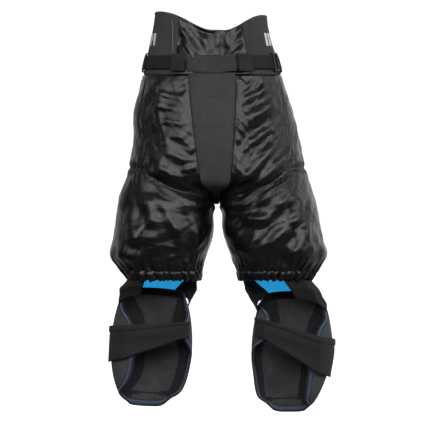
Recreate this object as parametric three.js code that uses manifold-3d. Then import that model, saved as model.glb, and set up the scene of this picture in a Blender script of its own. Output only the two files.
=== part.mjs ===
// Youth ice hockey pants with a pair of shin guards hanging from the knees.
// Units are millimetres, +Z is up. The wearer's back faces -Y and the wearer's left is -X.
// Heights are counted from the lowest tip of the right shin guard. The last line of the
// file lowers everything, so that the origin lies at the middle of the waist on the belt line.
import * as THREE from 'three';
import { mergeVertices } from 'three/addons/utils/BufferGeometryUtils.js';
import Module from 'manifold-3d';

const wasm = await Module();
wasm.setup();

// Heights
const TOP_Z = 714;
const BELT_Z = 628;
const SHELL_TOP_Z = 606;
const HIP_Z = 530;
const SEAT_Z = 450;
const CROTCH_FORK_Z = 430;
const CROTCH_Z = 372;
const FLARE_Z = 281;
const HEM_TOP_Z = 251;
const HEM_SEAM = 1.5;
const CROTCH_SEAM = 5;
const HEM_Z = 238;

// Outer shape of the shell: half width, half depth and half the gap between the legs
const HALF_WIDTH = [[HEM_Z, 162], [FLARE_Z, 195], [CROTCH_Z, 178], [SEAT_Z, 159], [HIP_Z, 143],
  [BELT_Z, 119], [TOP_Z, 101]];
const HALF_DEPTH = [[HEM_Z, 66], [FLARE_Z, 84], [CROTCH_Z, 90], [SEAT_Z, 98], [HIP_Z, 96],
  [BELT_Z, 84], [TOP_Z, 80]];
const HALF_LEG_GAP = [[HEM_Z, 38], [FLARE_Z, 24], [CROTCH_Z - 40, 10], [CROTCH_Z, 5]];
const ROUNDNESS = 2.5;            // exponent of the oval sections, where 2 is an ellipse
const DRIFT_SLOPE = -0.032;       // the garment hangs a little to one side
const DRIFT_ZERO_Z = 390;

// Layers of the shell
const SEAM_GAP = 0.006;           // share of a panel left open at a seam
const SHELL_THICK = 3;
const LAYER_GAP = 3;
const WAIST_THICK = 6;
const CAP_THICK = 2.5;
const PAD_THICK = 11;
const LINING_THICK = 2;

// Centre panels
const CENTRE_SEAM = 0.2;          // share of the crotch gap left open at each side
const STRETCH_HALF_TOP = 42;
const STRETCH_HALF_LOW = 27;
const GUSSET_HALF = 14;
const YOKE_HALF = 66;
const WAIST_DIP = 28;
const WAIST_DIP_INNER = 10;
const WAIST_DIP_OUTER = 85;

// Belt
const WEB_WIDTH = 25;
const WEB_THICK = 2;
const WEB_OFFSET = 2.5;           // from the waistband's outer face to the webbing
const TUNNEL_HALF = 41;
const KEEPER_WALL = 1.6;
const KEEPER_ROOM = 0.8;
const BUCKLE_HALF = 34;
const BUCKLE_HEIGHT = 33;
const BUCKLE_THICK = 11;

// Shin guard, about its knee axis
const KNEE = { left: [-111, 0, 220], right: [137, 0, 210] };
const LEAN = { left: 0.05, right: 0 };
const GUARD_TOP = -10;
const GUARD_CREST = 12;           // how far the front of the top edge stands above its sides
const GUARD_BOTTOM = -210;
const GUARD_MID_Y = -16;
const GUARD_HALF_WIDTH = [[0, 57], [0.12, 65], [0.3, 72], [0.6, 71], [0.8, 60], [0.93, 45], [1, 26]];
const GUARD_HALF_DEPTH = [[0, 42], [0.3, 46], [0.7, 44], [0.88, 34], [1, 12]];
const WING_END = [[0, 1.62], [0.14, 1.85], [0.3, 2.36], [0.52, 2.36], [0.78, 1.75], [1, 1.56]];
const WING_START = 1.3;
const LINER_THICK = 9;
const WING_THICK = 5;
const STRAP_THICK = 2.4;
const STRAP_CLEARANCE = 1.2;

const root = new THREE.Group();
const garment = new THREE.Group();
root.add(garment);

const finishes = {
  nylon: { color: 0x2b2a2b, roughness: 0.38, metalness: 0 },
  stretch: { color: 0x3f3f40, roughness: 0.9, metalness: 0 },
  waistband: { color: 0x454445, roughness: 0.85, metalness: 0 },
  webbing: { color: 0x252425, roughness: 0.7, metalness: 0 },
  acetal: { color: 0x141415, roughness: 0.35, metalness: 0 },
  foam: { color: 0x55565a, roughness: 0.95, metalness: 0 },
  lining: { color: 0x2fa4f5, roughness: 0.6, metalness: 0 },
  liner: { color: 0x2e2d2f, roughness: 0.85, metalness: 0 },
  shield: { color: 0x18191b, roughness: 0.3, metalness: 0 },
};

function addPiece(name, geometry, finish, parent = garment) {
  const mesh = new THREE.Mesh(geometry, new THREE.MeshStandardMaterial(finishes[finish]));
  mesh.name = name;
  parent.add(mesh);
  return mesh;
}

// Small number helpers
const mix = (a, b, share) => a + (b - a) * share;
const signedPower = (value, exponent) => Math.sign(value) * Math.abs(value) ** exponent;

function smooth(low, high, value) {
  const share = Math.min(1, Math.max(0, (value - low) / (high - low)));
  return share * share * (3 - 2 * share);
}

// Straight-line reading of a list of [place, value] stations, held level past both ends.
function along(stations, place) {
  if (place <= stations[0][0]) return stations[0][1];
  for (let i = 1; i < stations.length; i += 1) {
    const [lowPlace, lowValue] = stations[i - 1];
    const [highPlace, highValue] = stations[i];
    if (place <= highPlace) return mix(lowValue, highValue, (place - lowPlace) / (highPlace - lowPlace));
  }
  return stations[stations.length - 1][1];
}

const drift = (z) => (z - DRIFT_ZERO_Z) * DRIFT_SLOPE;

// One closed body from a surface(u, v), laid `inset` under it and `thickness` deep, both
// measured against the surface's outward normal. A ring closes on itself along u.
function layer(surface, stepsU, stepsV, inset, thickness, ring = false) {
  const columns = ring ? stepsU : stepsU + 1;
  const nudge = 1e-3;
  const normalAt = (u, v) => {
    const low = v < 0.5 ? v : v - nudge;
    const left = u < 0.5 || ring ? u : u - nudge;
    const alongU = surface(left + nudge, v).sub(surface(left, v));
    const alongV = surface(u, low + nudge).sub(surface(u, low));
    return alongU.cross(alongV).normalize();
  };
  const positions = [];
  for (const depth of [inset, inset + thickness]) {
    for (let j = 0; j <= stepsV; j += 1) {
      for (let i = 0; i < columns; i += 1) {
        const u = i / stepsU;
        const v = j / stepsV;
        const point = surface(u, v).addScaledVector(normalAt(u, v), -depth);
        positions.push(point.x, point.y, point.z);
      }
    }
  }
  const back = columns * (stepsV + 1);
  const at = (i, j, side) => (i % columns) + j * columns + side * back;
  const indices = [];
  const quad = (a, b, c, d) => indices.push(a, b, c, a, c, d);
  for (let j = 0; j < stepsV; j += 1) {
    for (let i = 0; i < stepsU; i += 1) {
      quad(at(i, j, 0), at(i + 1, j, 0), at(i + 1, j + 1, 0), at(i, j + 1, 0));
      quad(at(i, j, 1), at(i, j + 1, 1), at(i + 1, j + 1, 1), at(i + 1, j, 1));
    }
  }
  for (let i = 0; i < stepsU; i += 1) {
    quad(at(i, 0, 0), at(i, 0, 1), at(i + 1, 0, 1), at(i + 1, 0, 0));
    quad(at(i, stepsV, 0), at(i + 1, stepsV, 0), at(i + 1, stepsV, 1), at(i, stepsV, 1));
  }
  for (let j = 0; j < stepsV && !ring; j += 1) {
    quad(at(0, j, 0), at(0, j + 1, 0), at(0, j + 1, 1), at(0, j, 1));
    quad(at(stepsU, j, 0), at(stepsU, j, 1), at(stepsU, j + 1, 1), at(stepsU, j + 1, 0));
  }
  const geometry = new THREE.BufferGeometry();
  geometry.setAttribute('position', new THREE.Float32BufferAttribute(positions, 3));
  geometry.setIndex(indices);
  return geometry;
}

// Booleans
function toManifold(geometry) {
  const bare = geometry.clone();
  bare.deleteAttribute('normal');
  bare.deleteAttribute('uv');
  const merged = mergeVertices(bare, 1e-4);
  return new wasm.Manifold(new wasm.Mesh({
    numProp: 3,
    vertProperties: Float32Array.from(merged.attributes.position.array),
    triVerts: Uint32Array.from(merged.index.array),
  }));
}

function cut(outer, ...tools) {
  let solid = toManifold(outer);
  for (const tool of tools) solid = solid.subtract(toManifold(tool));
  const { vertProperties, triVerts } = solid.getMesh();
  const geometry = new THREE.BufferGeometry();
  geometry.setAttribute('position', new THREE.Float32BufferAttribute(vertProperties, 3));
  geometry.setIndex(Array.from(triVerts));
  return geometry;
}

function boxBetween(low, high) {
  const size = low.map((value, k) => high[k] - value);
  const middle = low.map((value, k) => (high[k] + value) / 2);
  return new THREE.BoxGeometry(...size).translate(...middle);
}

// The oval trunk. The turn is 0 at the middle of the back, a quarter at the wearer's right
// side, a half at the front and three quarters at the left side.
function trunkPoint(turn, z) {
  const angle = turn * 2 * Math.PI;
  const x = along(HALF_WIDTH, z) * signedPower(Math.sin(angle), 2 / ROUNDNESS);
  const y = -along(HALF_DEPTH, z) * signedPower(Math.cos(angle), 2 / ROUNDNESS);
  return new THREE.Vector3(x + drift(z), y, z);
}

// The turn at which the back of the trunk is a given width off its middle.
function backTurn(offset, z) {
  const share = offset / along(HALF_WIDTH, z);
  return Math.asin(share ** (ROUNDNESS / 2)) / (2 * Math.PI);
}

const stretchHalf = (z) => mix(STRETCH_HALF_LOW, STRETCH_HALF_TOP, smooth(CROTCH_Z, SHELL_TOP_Z, z));
const centreHalf = (facing, z) => (facing < 0 ? stretchHalf(z) : GUSSET_HALF);

// The trouser surface. side is -1 on the wearer's left and 1 on the right, facing is -1 at
// the back and 1 at the front, reach runs from the centre panel (below the fork: from the
// inseam) to the side seam.
function trouserPoint(side, facing, reach, z) {
  const start = backTurn(centreHalf(facing, z), z);
  const quarter = mix(start, 0.25, reach);
  const trunk = trunkPoint(side * (facing < 0 ? quarter : 0.5 - quarter), z);
  const width = along(HALF_WIDTH, z);
  const gap = along(HALF_LEG_GAP, z);
  const angle = Math.PI * reach;
  const across = (width + gap) / 2 - ((width - gap) / 2) * signedPower(Math.cos(angle), 2 / ROUNDNESS);
  const deep = along(HALF_DEPTH, z) * Math.abs(Math.sin(angle)) ** (2 / ROUNDNESS);
  const leg = new THREE.Vector3(drift(z) + side * across, facing * deep, z);
  return trunk.lerp(leg, 1 - smooth(CROTCH_Z, CROTCH_FORK_Z, z));
}

// A trouser patch between two reaches on one facing. It runs with the outward normal out.
function trouserPatch(side, facing, reaches, heights) {
  const forward = side * facing < 0;
  return (u, v) => trouserPoint(side, facing, mix(...reaches, forward ? u : 1 - u), mix(...heights, v));
}

// A patch that runs from the back round the side seam to the front.
function sidePatch(side, reach, heights) {
  return (u, v) => {
    const path = side > 0 ? u : 1 - u;
    const facing = path < 0.5 ? -1 : 1;
    return trouserPoint(side, facing, mix(reach, 1, 1 - Math.abs(1 - 2 * path)), mix(...heights, v));
  };
}

// A full ring round one leg.
function legRing(side, heights) {
  return (u, v) => {
    const path = side > 0 ? u : 1 - u;
    const wrapped = ((path % 1) + 1) % 1;
    const facing = wrapped < 0.5 ? -1 : 1;
    return trouserPoint(side, facing, 1 - Math.abs(1 - 2 * wrapped), mix(...heights, v));
  };
}

// A centre panel between the two legs' edges, which narrows and turns under at the crotch.
function centrePatch(facing, heights) {
  return (u, v) => {
    const z = mix(...heights, v);
    const share = facing < 0 ? u : 1 - u;
    const left = trouserPoint(-1, facing, 0, z);
    const right = trouserPoint(1, facing, 0, z);
    const chord = left.clone().lerp(right, mix(CENTRE_SEAM, 1 - CENTRE_SEAM, share));
    const start = backTurn(centreHalf(facing, z), z);
    const turn = mix(-start, start, share);
    const trunk = trunkPoint(facing < 0 ? turn : 0.5 - turn, z);
    return trunk.lerp(chord, 1 - smooth(CROTCH_Z, CROTCH_FORK_Z, z));
  };
}

// Top edge of the waistband, lower in the middle of the back and of the front.
function waistTop(turn) {
  const offset = Math.abs(trunkPoint(turn, TOP_Z).x - drift(TOP_Z));
  return TOP_Z - WAIST_DIP * (1 - smooth(WAIST_DIP_INNER, WAIST_DIP_OUTER, offset));
}

function waistPatch(fromTurn, toTurn) {
  return (u, v) => {
    const turn = mix(fromTurn, toTurn, u);
    return trunkPoint(turn, mix(SHELL_TOP_Z + 0.6, waistTop(turn), v));
  };
}

// A band at belt height. Ends are turns, half is half its height.
const bandPatch = (fromTurn, toTurn, half) => (u, v) => trunkPoint(
  mix(fromTurn, toTurn, u),
  mix(BELT_Z - half, BELT_Z + half, v),
);

// Waistband and yoke
const yokeTurn = backTurn(YOKE_HALF, BELT_Z);
const FRONT_GAP_TURN = 0.002;
const SEAM_TURN = 0.001;
const yokePatch = waistPatch(SEAM_TURN - yokeTurn, yokeTurn - SEAM_TURN);
const rightPatch = waistPatch(yokeTurn, 0.5 - FRONT_GAP_TURN);
const leftPatch = waistPatch(FRONT_GAP_TURN - 0.5, -yokeTurn);
addPiece('back_yoke', layer(yokePatch, 8, 4, 0, WAIST_THICK), 'nylon');
addPiece('waist_panel_right', layer(rightPatch, 12, 4, 0, WAIST_THICK), 'waistband');
addPiece('waist_panel_left', layer(leftPatch, 12, 4, 0, WAIST_THICK), 'waistband');

// Trouser shell
const SIDE_REACH = 0.5;
const shellHeights = [HEM_TOP_Z + HEM_SEAM, SHELL_TOP_Z];
const centreHeights = [CROTCH_Z + CROTCH_SEAM, SHELL_TOP_Z];
const SHELL_STEPS = 13;
const panelReaches = [SEAM_GAP, SIDE_REACH - SEAM_GAP];
const sides = { left: -1, right: 1 };
for (const [name, side] of Object.entries(sides)) {
  const backPatch = trouserPatch(side, -1, panelReaches, shellHeights);
  const frontPatch = trouserPatch(side, 1, panelReaches, shellHeights);
  const outerPatch = sidePatch(side, SIDE_REACH, shellHeights);
  addPiece(`back_panel_${name}`, layer(backPatch, 5, SHELL_STEPS, 0, SHELL_THICK), 'nylon');
  addPiece(`front_panel_${name}`, layer(frontPatch, 5, SHELL_STEPS, 0, SHELL_THICK), 'nylon');
  addPiece(`side_panel_${name}`, layer(outerPatch, 8, SHELL_STEPS, 0, SHELL_THICK), 'nylon');
  addPiece(`hem_band_${name}`, layer(legRing(side, [HEM_Z, HEM_TOP_Z]), 20, 1, 0, 4, true), 'nylon');
}
addPiece('stretch_panel', layer(centrePatch(-1, centreHeights), 3, 10, 0, SHELL_THICK), 'stretch');
addPiece('front_gusset', layer(centrePatch(1, centreHeights), 2, 10, 0, SHELL_THICK), 'stretch');

// Protection inside the shell
const capInset = SHELL_THICK + LAYER_GAP;
const padInset = capInset + CAP_THICK + LAYER_GAP;
const hipHeights = [446, 592];
const thighHeights = [290, 366];
const kneeHeights = [219, 262];
for (const [name, side] of Object.entries(sides)) {
  const hipPatch = sidePatch(side, 0.62, hipHeights);
  const thighPatch = trouserPatch(side, 1, [0.22, 0.8], thighHeights);
  const kidneyTurns = [0.012, backTurn(YOKE_HALF - 8, BELT_Z)].map((turn) => turn * side);
  const kidneyPatch = bandPatch(...(side > 0 ? kidneyTurns : kidneyTurns.reverse()), 40);
  const liningPatch = trouserPatch(side, 1, [0.12, 0.88], kneeHeights);
  addPiece(`hip_cap_${name}`, layer(hipPatch, 6, 5, capInset, CAP_THICK), 'shield');
  addPiece(`hip_pad_${name}`, layer(hipPatch, 6, 5, padInset, PAD_THICK), 'foam');
  addPiece(`thigh_guard_${name}`, layer(thighPatch, 6, 3, capInset, CAP_THICK), 'shield');
  addPiece(`thigh_pad_${name}`, layer(thighPatch, 6, 3, padInset, PAD_THICK), 'foam');
  addPiece(`kidney_pad_${name}`, layer(kidneyPatch, 3, 2, WAIST_THICK + LAYER_GAP, PAD_THICK), 'foam');
  addPiece(`knee_lining_${name}`, layer(liningPatch, 8, 2, 4 + LAYER_GAP, LINING_THICK), 'lining');
}
const tailbonePatch = (u, v) => trunkPoint(mix(-0.034, 0.034, u), mix(452, 580, v));
addPiece('tailbone_pad', layer(tailbonePatch, 3, 4, capInset, PAD_THICK), 'foam');

// Belt: webbing, its tunnel, keepers and loops. A sleeve is a band with the webbing's
// channel cut through it from end to end.
const webHalf = WEB_WIDTH / 2;
const overrun = 0.004;
function sleeve(fromTurn, toTurn, steps) {
  const inner = WEB_OFFSET - KEEPER_ROOM;
  const room = WEB_THICK + 2 * KEEPER_ROOM;
  const outer = inner + room + KEEPER_WALL;
  const body = layer(bandPatch(fromTurn, toTurn, webHalf + 3), steps, 1, -outer, outer - 0.4);
  const channel = layer(
    bandPatch(fromTurn - overrun, toTurn + overrun, webHalf + KEEPER_ROOM),
    steps,
    1,
    -(inner + room),
    room,
  );
  return cut(body, channel);
}
const tunnelTurn = backTurn(TUNNEL_HALF, BELT_Z);
const keeperTurns = [[0.058, 0.084], [0.196, 0.214]];
const buckleTurn = 0.5 - 0.045;
addPiece('belt_tunnel', sleeve(-tunnelTurn, tunnelTurn, 6), 'waistband');
for (const [name, side] of Object.entries(sides)) {
  const webTurns = side > 0 ? [0.0006, buckleTurn] : [-buckleTurn, -0.0006];
  const webPatch = bandPatch(...webTurns, webHalf);
  const web = layer(webPatch, 22, 1, -WEB_OFFSET - WEB_THICK, WEB_THICK);
  addPiece(`belt_webbing_${name}`, web, 'webbing');
  const [backKeeper, sideLoop] = keeperTurns.map(([a, b]) => (side > 0 ? [a, b] : [-b, -a]));
  addPiece(`back_keeper_${name}`, sleeve(...backKeeper, 2), 'waistband');
  addPiece(`side_loop_${name}`, sleeve(...sideLoop, 2), 'waistband');
}

// Tri-glide on the right webbing: two outer bars in front of the strap and a middle bar
// behind it, joined by a rail above and below.
const SLIDER_TURN = 0.18;
const sliderSpot = trunkPoint(SLIDER_TURN, BELT_Z);
const sliderAlong = trunkPoint(SLIDER_TURN + 0.002, BELT_Z).sub(sliderSpot).normalize();
const sliderUp = trunkPoint(SLIDER_TURN, BELT_Z + 2).sub(sliderSpot);
const sliderOut = sliderAlong.clone().cross(sliderUp).normalize();
const sliderTilt = sliderAlong.clone().cross(sliderOut.clone().negate());
const slider = new THREE.Group();
slider.quaternion.setFromRotationMatrix(
  new THREE.Matrix4().makeBasis(sliderAlong, sliderOut.clone().negate(), sliderTilt),
);
slider.position.copy(sliderSpot);
garment.add(slider);
const slotHalf = webHalf + 1;
const sliderFrame = cut(
  boxBetween([-7, -7.6, -17], [7, -0.8, 17]),
  boxBetween([-9, -5.4, -slotHalf], [9, -2, slotHalf]),
  boxBetween([-4.4, -9, -slotHalf], [4.4, -5, slotHalf]),
  boxBetween([-9, -2.5, -slotHalf], [-1.3, 0, slotHalf]),
  boxBetween([1.3, -2.5, -slotHalf], [9, 0, slotHalf]),
);
addPiece('belt_slider', sliderFrame, 'acetal', slider);

// Front side-release buckle: socket on the wearer's left, plug on the right
const frontY = trunkPoint(0.5, BELT_Z).y;
const buckleBack = frontY + 2.8;
const buckleTop = buckleBack + BUCKLE_THICK;
const PRONG_SPAN = 11;
const socket = cut(
  boxBetween([-BUCKLE_HALF, buckleBack, -BUCKLE_HEIGHT / 2], [2, buckleTop, BUCKLE_HEIGHT / 2]),
  boxBetween([-24, buckleBack + 2.6, -BUCKLE_HEIGHT / 2 + 4], [4, buckleTop - 2.6, BUCKLE_HEIGHT / 2 - 4]),
  boxBetween([-20, buckleBack - 1, BUCKLE_HEIGHT / 2 - 5], [-6, buckleTop + 1, BUCKLE_HEIGHT / 2 + 1]),
  boxBetween([-20, buckleBack - 1, -BUCKLE_HEIGHT / 2 - 1], [-6, buckleTop + 1, -BUCKLE_HEIGHT / 2 + 5]),
);
const plugOutline = new THREE.Shape();
plugOutline.moveTo(BUCKLE_HALF, -BUCKLE_HEIGHT / 2);
plugOutline.lineTo(BUCKLE_HALF, BUCKLE_HEIGHT / 2);
plugOutline.lineTo(3, BUCKLE_HEIGHT / 2);
plugOutline.lineTo(3, PRONG_SPAN);
plugOutline.lineTo(-18, PRONG_SPAN);
plugOutline.lineTo(-21, PRONG_SPAN - 5);
plugOutline.lineTo(-2, PRONG_SPAN - 5);
plugOutline.lineTo(-2, 5 - PRONG_SPAN);
plugOutline.lineTo(-21, 5 - PRONG_SPAN);
plugOutline.lineTo(-18, -PRONG_SPAN);
plugOutline.lineTo(3, -PRONG_SPAN);
plugOutline.lineTo(3, -BUCKLE_HEIGHT / 2);
const plug = new THREE.ExtrudeGeometry(plugOutline, { depth: 4.4, bevelEnabled: false })
  .rotateX(Math.PI / 2)
  .translate(0, buckleBack + BUCKLE_THICK / 2 + 2.2, 0);
const buckle = new THREE.Group();
buckle.position.set(drift(BELT_Z), 0, BELT_Z);
garment.add(buckle);
addPiece('buckle_socket', socket, 'acetal', buckle);
addPiece('buckle_plug', plug, 'acetal', buckle);
const tailTurns = [0.5 - 0.142, 0.5 - 0.076];
addPiece(
  'belt_tail',
  layer(bandPatch(...tailTurns, webHalf), 5, 1, -WEB_OFFSET - 2 * WEB_THICK - 1.5, WEB_THICK),
  'webbing',
);

// Fly: a strip of hook tape on the shell and the flap that covers it
const flyPatch = (half, heights) => (u, v) => {
  const z = mix(...heights, v);
  const turn = backTurn(half, z);
  return trunkPoint(mix(0.5 - turn, 0.5 + turn, u), z);
};
addPiece('fly_strip', layer(flyPatch(11, [476, 594]), 2, 4, -1.9, 1.4), 'webbing');
addPiece('fly_flap', layer(flyPatch(30, [470, 599]), 4, 4, -5, 2.5), 'nylon');

// Connectors between the hem and the shin guards: flat tabs outside the guard's width, so
// the guard turns between them. Each is a thick line of three points, extruded along Y.
const TAB_THICK = 2.4;
function connector(points, widthY) {
  const half = TAB_THICK / 2;
  const outerEdge = points.map(([x, z]) => new THREE.Vector2(x + half, z));
  const innerEdge = points.map(([x, z]) => new THREE.Vector2(x - half, z));
  const outline = new THREE.Shape(outerEdge.concat(innerEdge.reverse()));
  return new THREE.ExtrudeGeometry(outline, { depth: widthY[1] - widthY[0], bevelEnabled: false })
    .rotateX(Math.PI / 2)
    .translate(0, widthY[1], 0);
}
const TAB_WIDTH = [-18, 10];
const tabTop = HEM_Z - 0.4;
const hemCentre = drift(HEM_Z);
const [hemInner, hemOuter] = [along(HALF_LEG_GAP, HEM_Z) + 2, along(HALF_WIDTH, HEM_Z) - 2];
for (const [name, side] of Object.entries(sides)) {
  const [kneeX, , kneeZ] = KNEE[name];
  const clear = 72;
  const low = kneeZ - 16;
  const outerX = kneeX + side * clear;
  const innerX = kneeX - side * clear;
  const outerTab = [[outerX, low], [outerX, kneeZ + 8], [hemCentre + side * hemOuter, tabTop]];
  const innerTab = [[innerX, low], [innerX, kneeZ + 8], [hemCentre + side * hemInner, tabTop]];
  addPiece(`outer_connector_${name}`, connector(outerTab, TAB_WIDTH), 'waistband');
  addPiece(`inner_connector_${name}`, connector(innerTab, TAB_WIDTH), 'waistband');
}

// Shin guard. down runs from 0 at the top edge to 1 at the bottom, wrap is the angle round
// the shin from the middle of the front, in radians.
function guardPoint(wrap, down) {
  const crest = GUARD_CREST * Math.max(0, Math.cos(wrap)) * (1 - smooth(0, 0.5, down));
  const x = along(GUARD_HALF_WIDTH, down) * Math.sin(wrap);
  const y = GUARD_MID_Y + along(GUARD_HALF_DEPTH, down) * Math.cos(wrap);
  return new THREE.Vector3(x, y, mix(GUARD_TOP, GUARD_BOTTOM, down) + crest);
}

const guardPatch = (wraps, downs) => (u, v) => guardPoint(mix(...wraps, u), mix(...downs, 1 - v));

// A wing starts at the liner's edge and ends at the curled stitched edge.
const wingPatch = (side, downs) => (u, v) => {
  const down = mix(...downs, 1 - v);
  const wrap = side > 0 ? mix(WING_START + 0.03, along(WING_END, down), 1 - u)
    : -mix(WING_START + 0.03, along(WING_END, down), u);
  return guardPoint(wrap, down);
};

// The calf strap leaves the outer side of the guard, hugs that wing, crosses the open back
// and ends on the outside of the other wing. It is widest where it is sewn. Its upper and
// lower edges are shares of the guard's length at each wrap.
const STRAP_WRAPS = [1.62, 2.42, -2.42, -2.05];
const STRAP_OFFSET = STRAP_CLEARANCE + STRAP_THICK;
const STRAP_HALF_WIDTH = 73 + STRAP_OFFSET;
const STRAP_HALF_DEPTH = 46 + STRAP_OFFSET;
const STRAP_HIGH = { left: [0.29, 0.27, 0.22, 0.21], right: [0.34, 0.31, 0.16, 0.14] };
const STRAP_LOW = { left: [0.56, 0.52, 0.37, 0.36], right: [0.64, 0.59, 0.33, 0.31] };
function strapPatch(side, name) {
  const corner = (wrap, down) => {
    const x = side * STRAP_HALF_WIDTH * Math.sin(wrap);
    const y = GUARD_MID_Y + STRAP_HALF_DEPTH * Math.cos(wrap);
    return new THREE.Vector3(x, y, mix(GUARD_TOP, GUARD_BOTTOM, down));
  };
  return (u, v) => {
    const path = (side > 0 ? 1 - u : u) * 3;
    const leg = Math.min(2, Math.floor(path));
    const share = path - leg;
    const high = mix(STRAP_HIGH[name][leg], STRAP_HIGH[name][leg + 1], share);
    const low = mix(STRAP_LOW[name][leg], STRAP_LOW[name][leg + 1], share);
    const down = mix(low, high, v);
    if (leg === 1) return corner(STRAP_WRAPS[1], down).lerp(corner(STRAP_WRAPS[2], down), share);
    return corner(mix(STRAP_WRAPS[leg], STRAP_WRAPS[leg + 1], share), down);
  };
}

for (const [name, side] of Object.entries(sides)) {
  const guard = new THREE.Group();
  guard.position.set(...KNEE[name]);
  guard.rotation.y = LEAN[name];
  garment.add(guard);
  const whole = [0, 1];
  const [outerName, innerName] = [`outer_wing_${name}`, `inner_wing_${name}`];
  const linerPatch = guardPatch([WING_START, -WING_START], whole);
  const kneePatch = guardPatch([0.95, -0.95], [0.06, 0.31]);
  const shinPatch = guardPatch([1.05, -1.05], [0.34, 0.93]);
  addPiece(`shin_liner_${name}`, layer(linerPatch, 10, 8, 0, LINER_THICK), 'liner', guard);
  addPiece(outerName, layer(wingPatch(side, whole), 4, 10, 0, WING_THICK), 'liner', guard);
  addPiece(innerName, layer(wingPatch(-side, whole), 4, 10, 0, WING_THICK), 'liner', guard);
  addPiece(`knee_cap_${name}`, layer(kneePatch, 6, 3, -8, 4), 'shield', guard);
  addPiece(`shin_cap_${name}`, layer(shinPatch, 6, 6, -6.5, 3), 'shield', guard);
  addPiece(`calf_strap_${name}`, layer(strapPatch(side, name), 9, 2, 0, STRAP_THICK), 'webbing', guard);
}

root.position.z = -BELT_Z;
export default root;
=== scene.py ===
"""Youth hockey pants with shin guards hanging from the knees, seen from the back.

Everything is in metres in the row's frame: the origin is the middle of the waist on the
belt line, +Z is up, the wearer's back faces -Y. Heights called h are counted from the
lowest tip of the right shin guard, as the design's heights are.
"""
import math

import bmesh
import bpy
import numpy as np
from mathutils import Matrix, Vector


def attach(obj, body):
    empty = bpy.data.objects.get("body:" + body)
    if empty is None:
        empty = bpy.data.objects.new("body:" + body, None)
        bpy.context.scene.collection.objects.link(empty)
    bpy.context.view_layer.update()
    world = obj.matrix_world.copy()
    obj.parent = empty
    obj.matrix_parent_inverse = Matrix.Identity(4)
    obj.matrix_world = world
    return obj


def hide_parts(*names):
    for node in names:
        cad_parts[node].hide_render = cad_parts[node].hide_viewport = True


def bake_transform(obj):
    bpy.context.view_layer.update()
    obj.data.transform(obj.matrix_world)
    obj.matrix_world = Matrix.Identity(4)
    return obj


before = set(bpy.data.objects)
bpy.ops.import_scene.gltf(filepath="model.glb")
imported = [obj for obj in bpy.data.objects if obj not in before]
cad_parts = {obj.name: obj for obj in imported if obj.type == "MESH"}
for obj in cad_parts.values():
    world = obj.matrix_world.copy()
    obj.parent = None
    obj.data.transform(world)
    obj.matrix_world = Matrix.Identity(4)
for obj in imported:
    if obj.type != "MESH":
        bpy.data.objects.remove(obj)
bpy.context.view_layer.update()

SIDES = {"left": -1, "right": 1}

# Heights above the lowest tip
BELT_H = 0.628
TOP_H = 0.714
SHELL_TOP_H = 0.606
FORK_H = 0.430
CROTCH_H = 0.372
HEM_TOP_H = 0.2525
HEM_H = 0.238

# Outer shape: half width, half depth and half the gap between the legs, at each height
HALF_WIDTH = [(0.200, 0.158), (HEM_H, 0.162), (0.266, 0.186), (0.281, 0.1955), (0.310, 0.190),
              (CROTCH_H, 0.178), (0.450, 0.159), (0.530, 0.144), (BELT_H, 0.119), (TOP_H, 0.101)]
HALF_DEPTH = [(0.200, 0.065), (HEM_H, 0.066), (0.281, 0.084), (CROTCH_H, 0.090), (0.450, 0.098),
              (0.530, 0.096), (BELT_H, 0.084), (TOP_H, 0.080)]
HALF_GAP = [(0.200, 0.038), (HEM_H, 0.038), (0.281, 0.024), (0.332, 0.010), (0.362, 0.009), (CROTCH_H, 0.005)]
OVAL = 2 / 2.5

# The pants lean: their middle moves sideways with height
DRIFT_SLOPE = -0.032
DRIFT_ZERO_H = 0.390

# Centre panels and waist
STRETCH_HALF = [(CROTCH_H, 0.019), (0.409, 0.0255), (0.441, 0.0295), (0.517, 0.037), (SHELL_TOP_H, 0.042)]
GUSSET_HALF = 0.014
YOKE_HALF = 0.066
WAIST_DIP = 0.028
DIP_SHIFT = 0.012

# Belt
WEB_HALF = 0.0125
WEB_OUT = 0.0045
WEB_THICK = 0.002
SLIDER_TURN = 0.18

# Shin guards, about their knee axes
KNEE = {"left": (-0.111, 0.0, 0.220 - BELT_H), "right": (0.137, 0.0, 0.210 - BELT_H)}
LEAN = {"left": 0.05, "right": 0.0}
GUARD_TOP = {"left": -0.017, "right": -0.019}
GUARD_CREST = {"left": 0.020, "right": 0.026}
STRAP_TOP = -0.010
GUARD_BOTTOM = -0.210
GUARD_MID_Y = -0.016
GUARD_SWAY = {"left": 0.0, "right": -0.008}
GUARD_HALF_WIDTH = [(0, 0.057), (0.12, 0.065), (0.3, 0.072), (0.6, 0.071), (0.8, 0.062), (0.93, 0.050),
                    (1, 0.036)]
GUARD_HALF_DEPTH = [(0, 0.042), (0.3, 0.046), (0.7, 0.044), (0.88, 0.034), (1, 0.012)]


# ---------------------------------------------------------------- numbers

def mix(a, b, share):
    return a + (b - a) * share


def smooth(low, high, value):
    share = np.clip((np.asarray(value, float) - low) / (high - low), 0, 1)
    return share * share * (3 - 2 * share)


def signed_power(value, exponent):
    return np.sign(value) * np.abs(value) ** exponent


def along(stations, place):
    """Smooth reading of (place, value) stations, held level past both ends."""
    places, values = np.array(stations, float).T
    slopes = np.gradient(values, places)
    slopes[0] = slopes[-1] = 0
    place = np.clip(place, places[0], places[-1])
    i = np.clip(np.searchsorted(places, place) - 1, 0, len(places) - 2)
    span = places[i + 1] - places[i]
    t = (place - places[i]) / span
    return ((2 * t**3 - 3 * t**2 + 1) * values[i] + (t**3 - 2 * t**2 + t) * span * slopes[i]
            + (3 * t**2 - 2 * t**3) * values[i + 1] + (t**3 - t**2) * span * slopes[i + 1])


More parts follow.
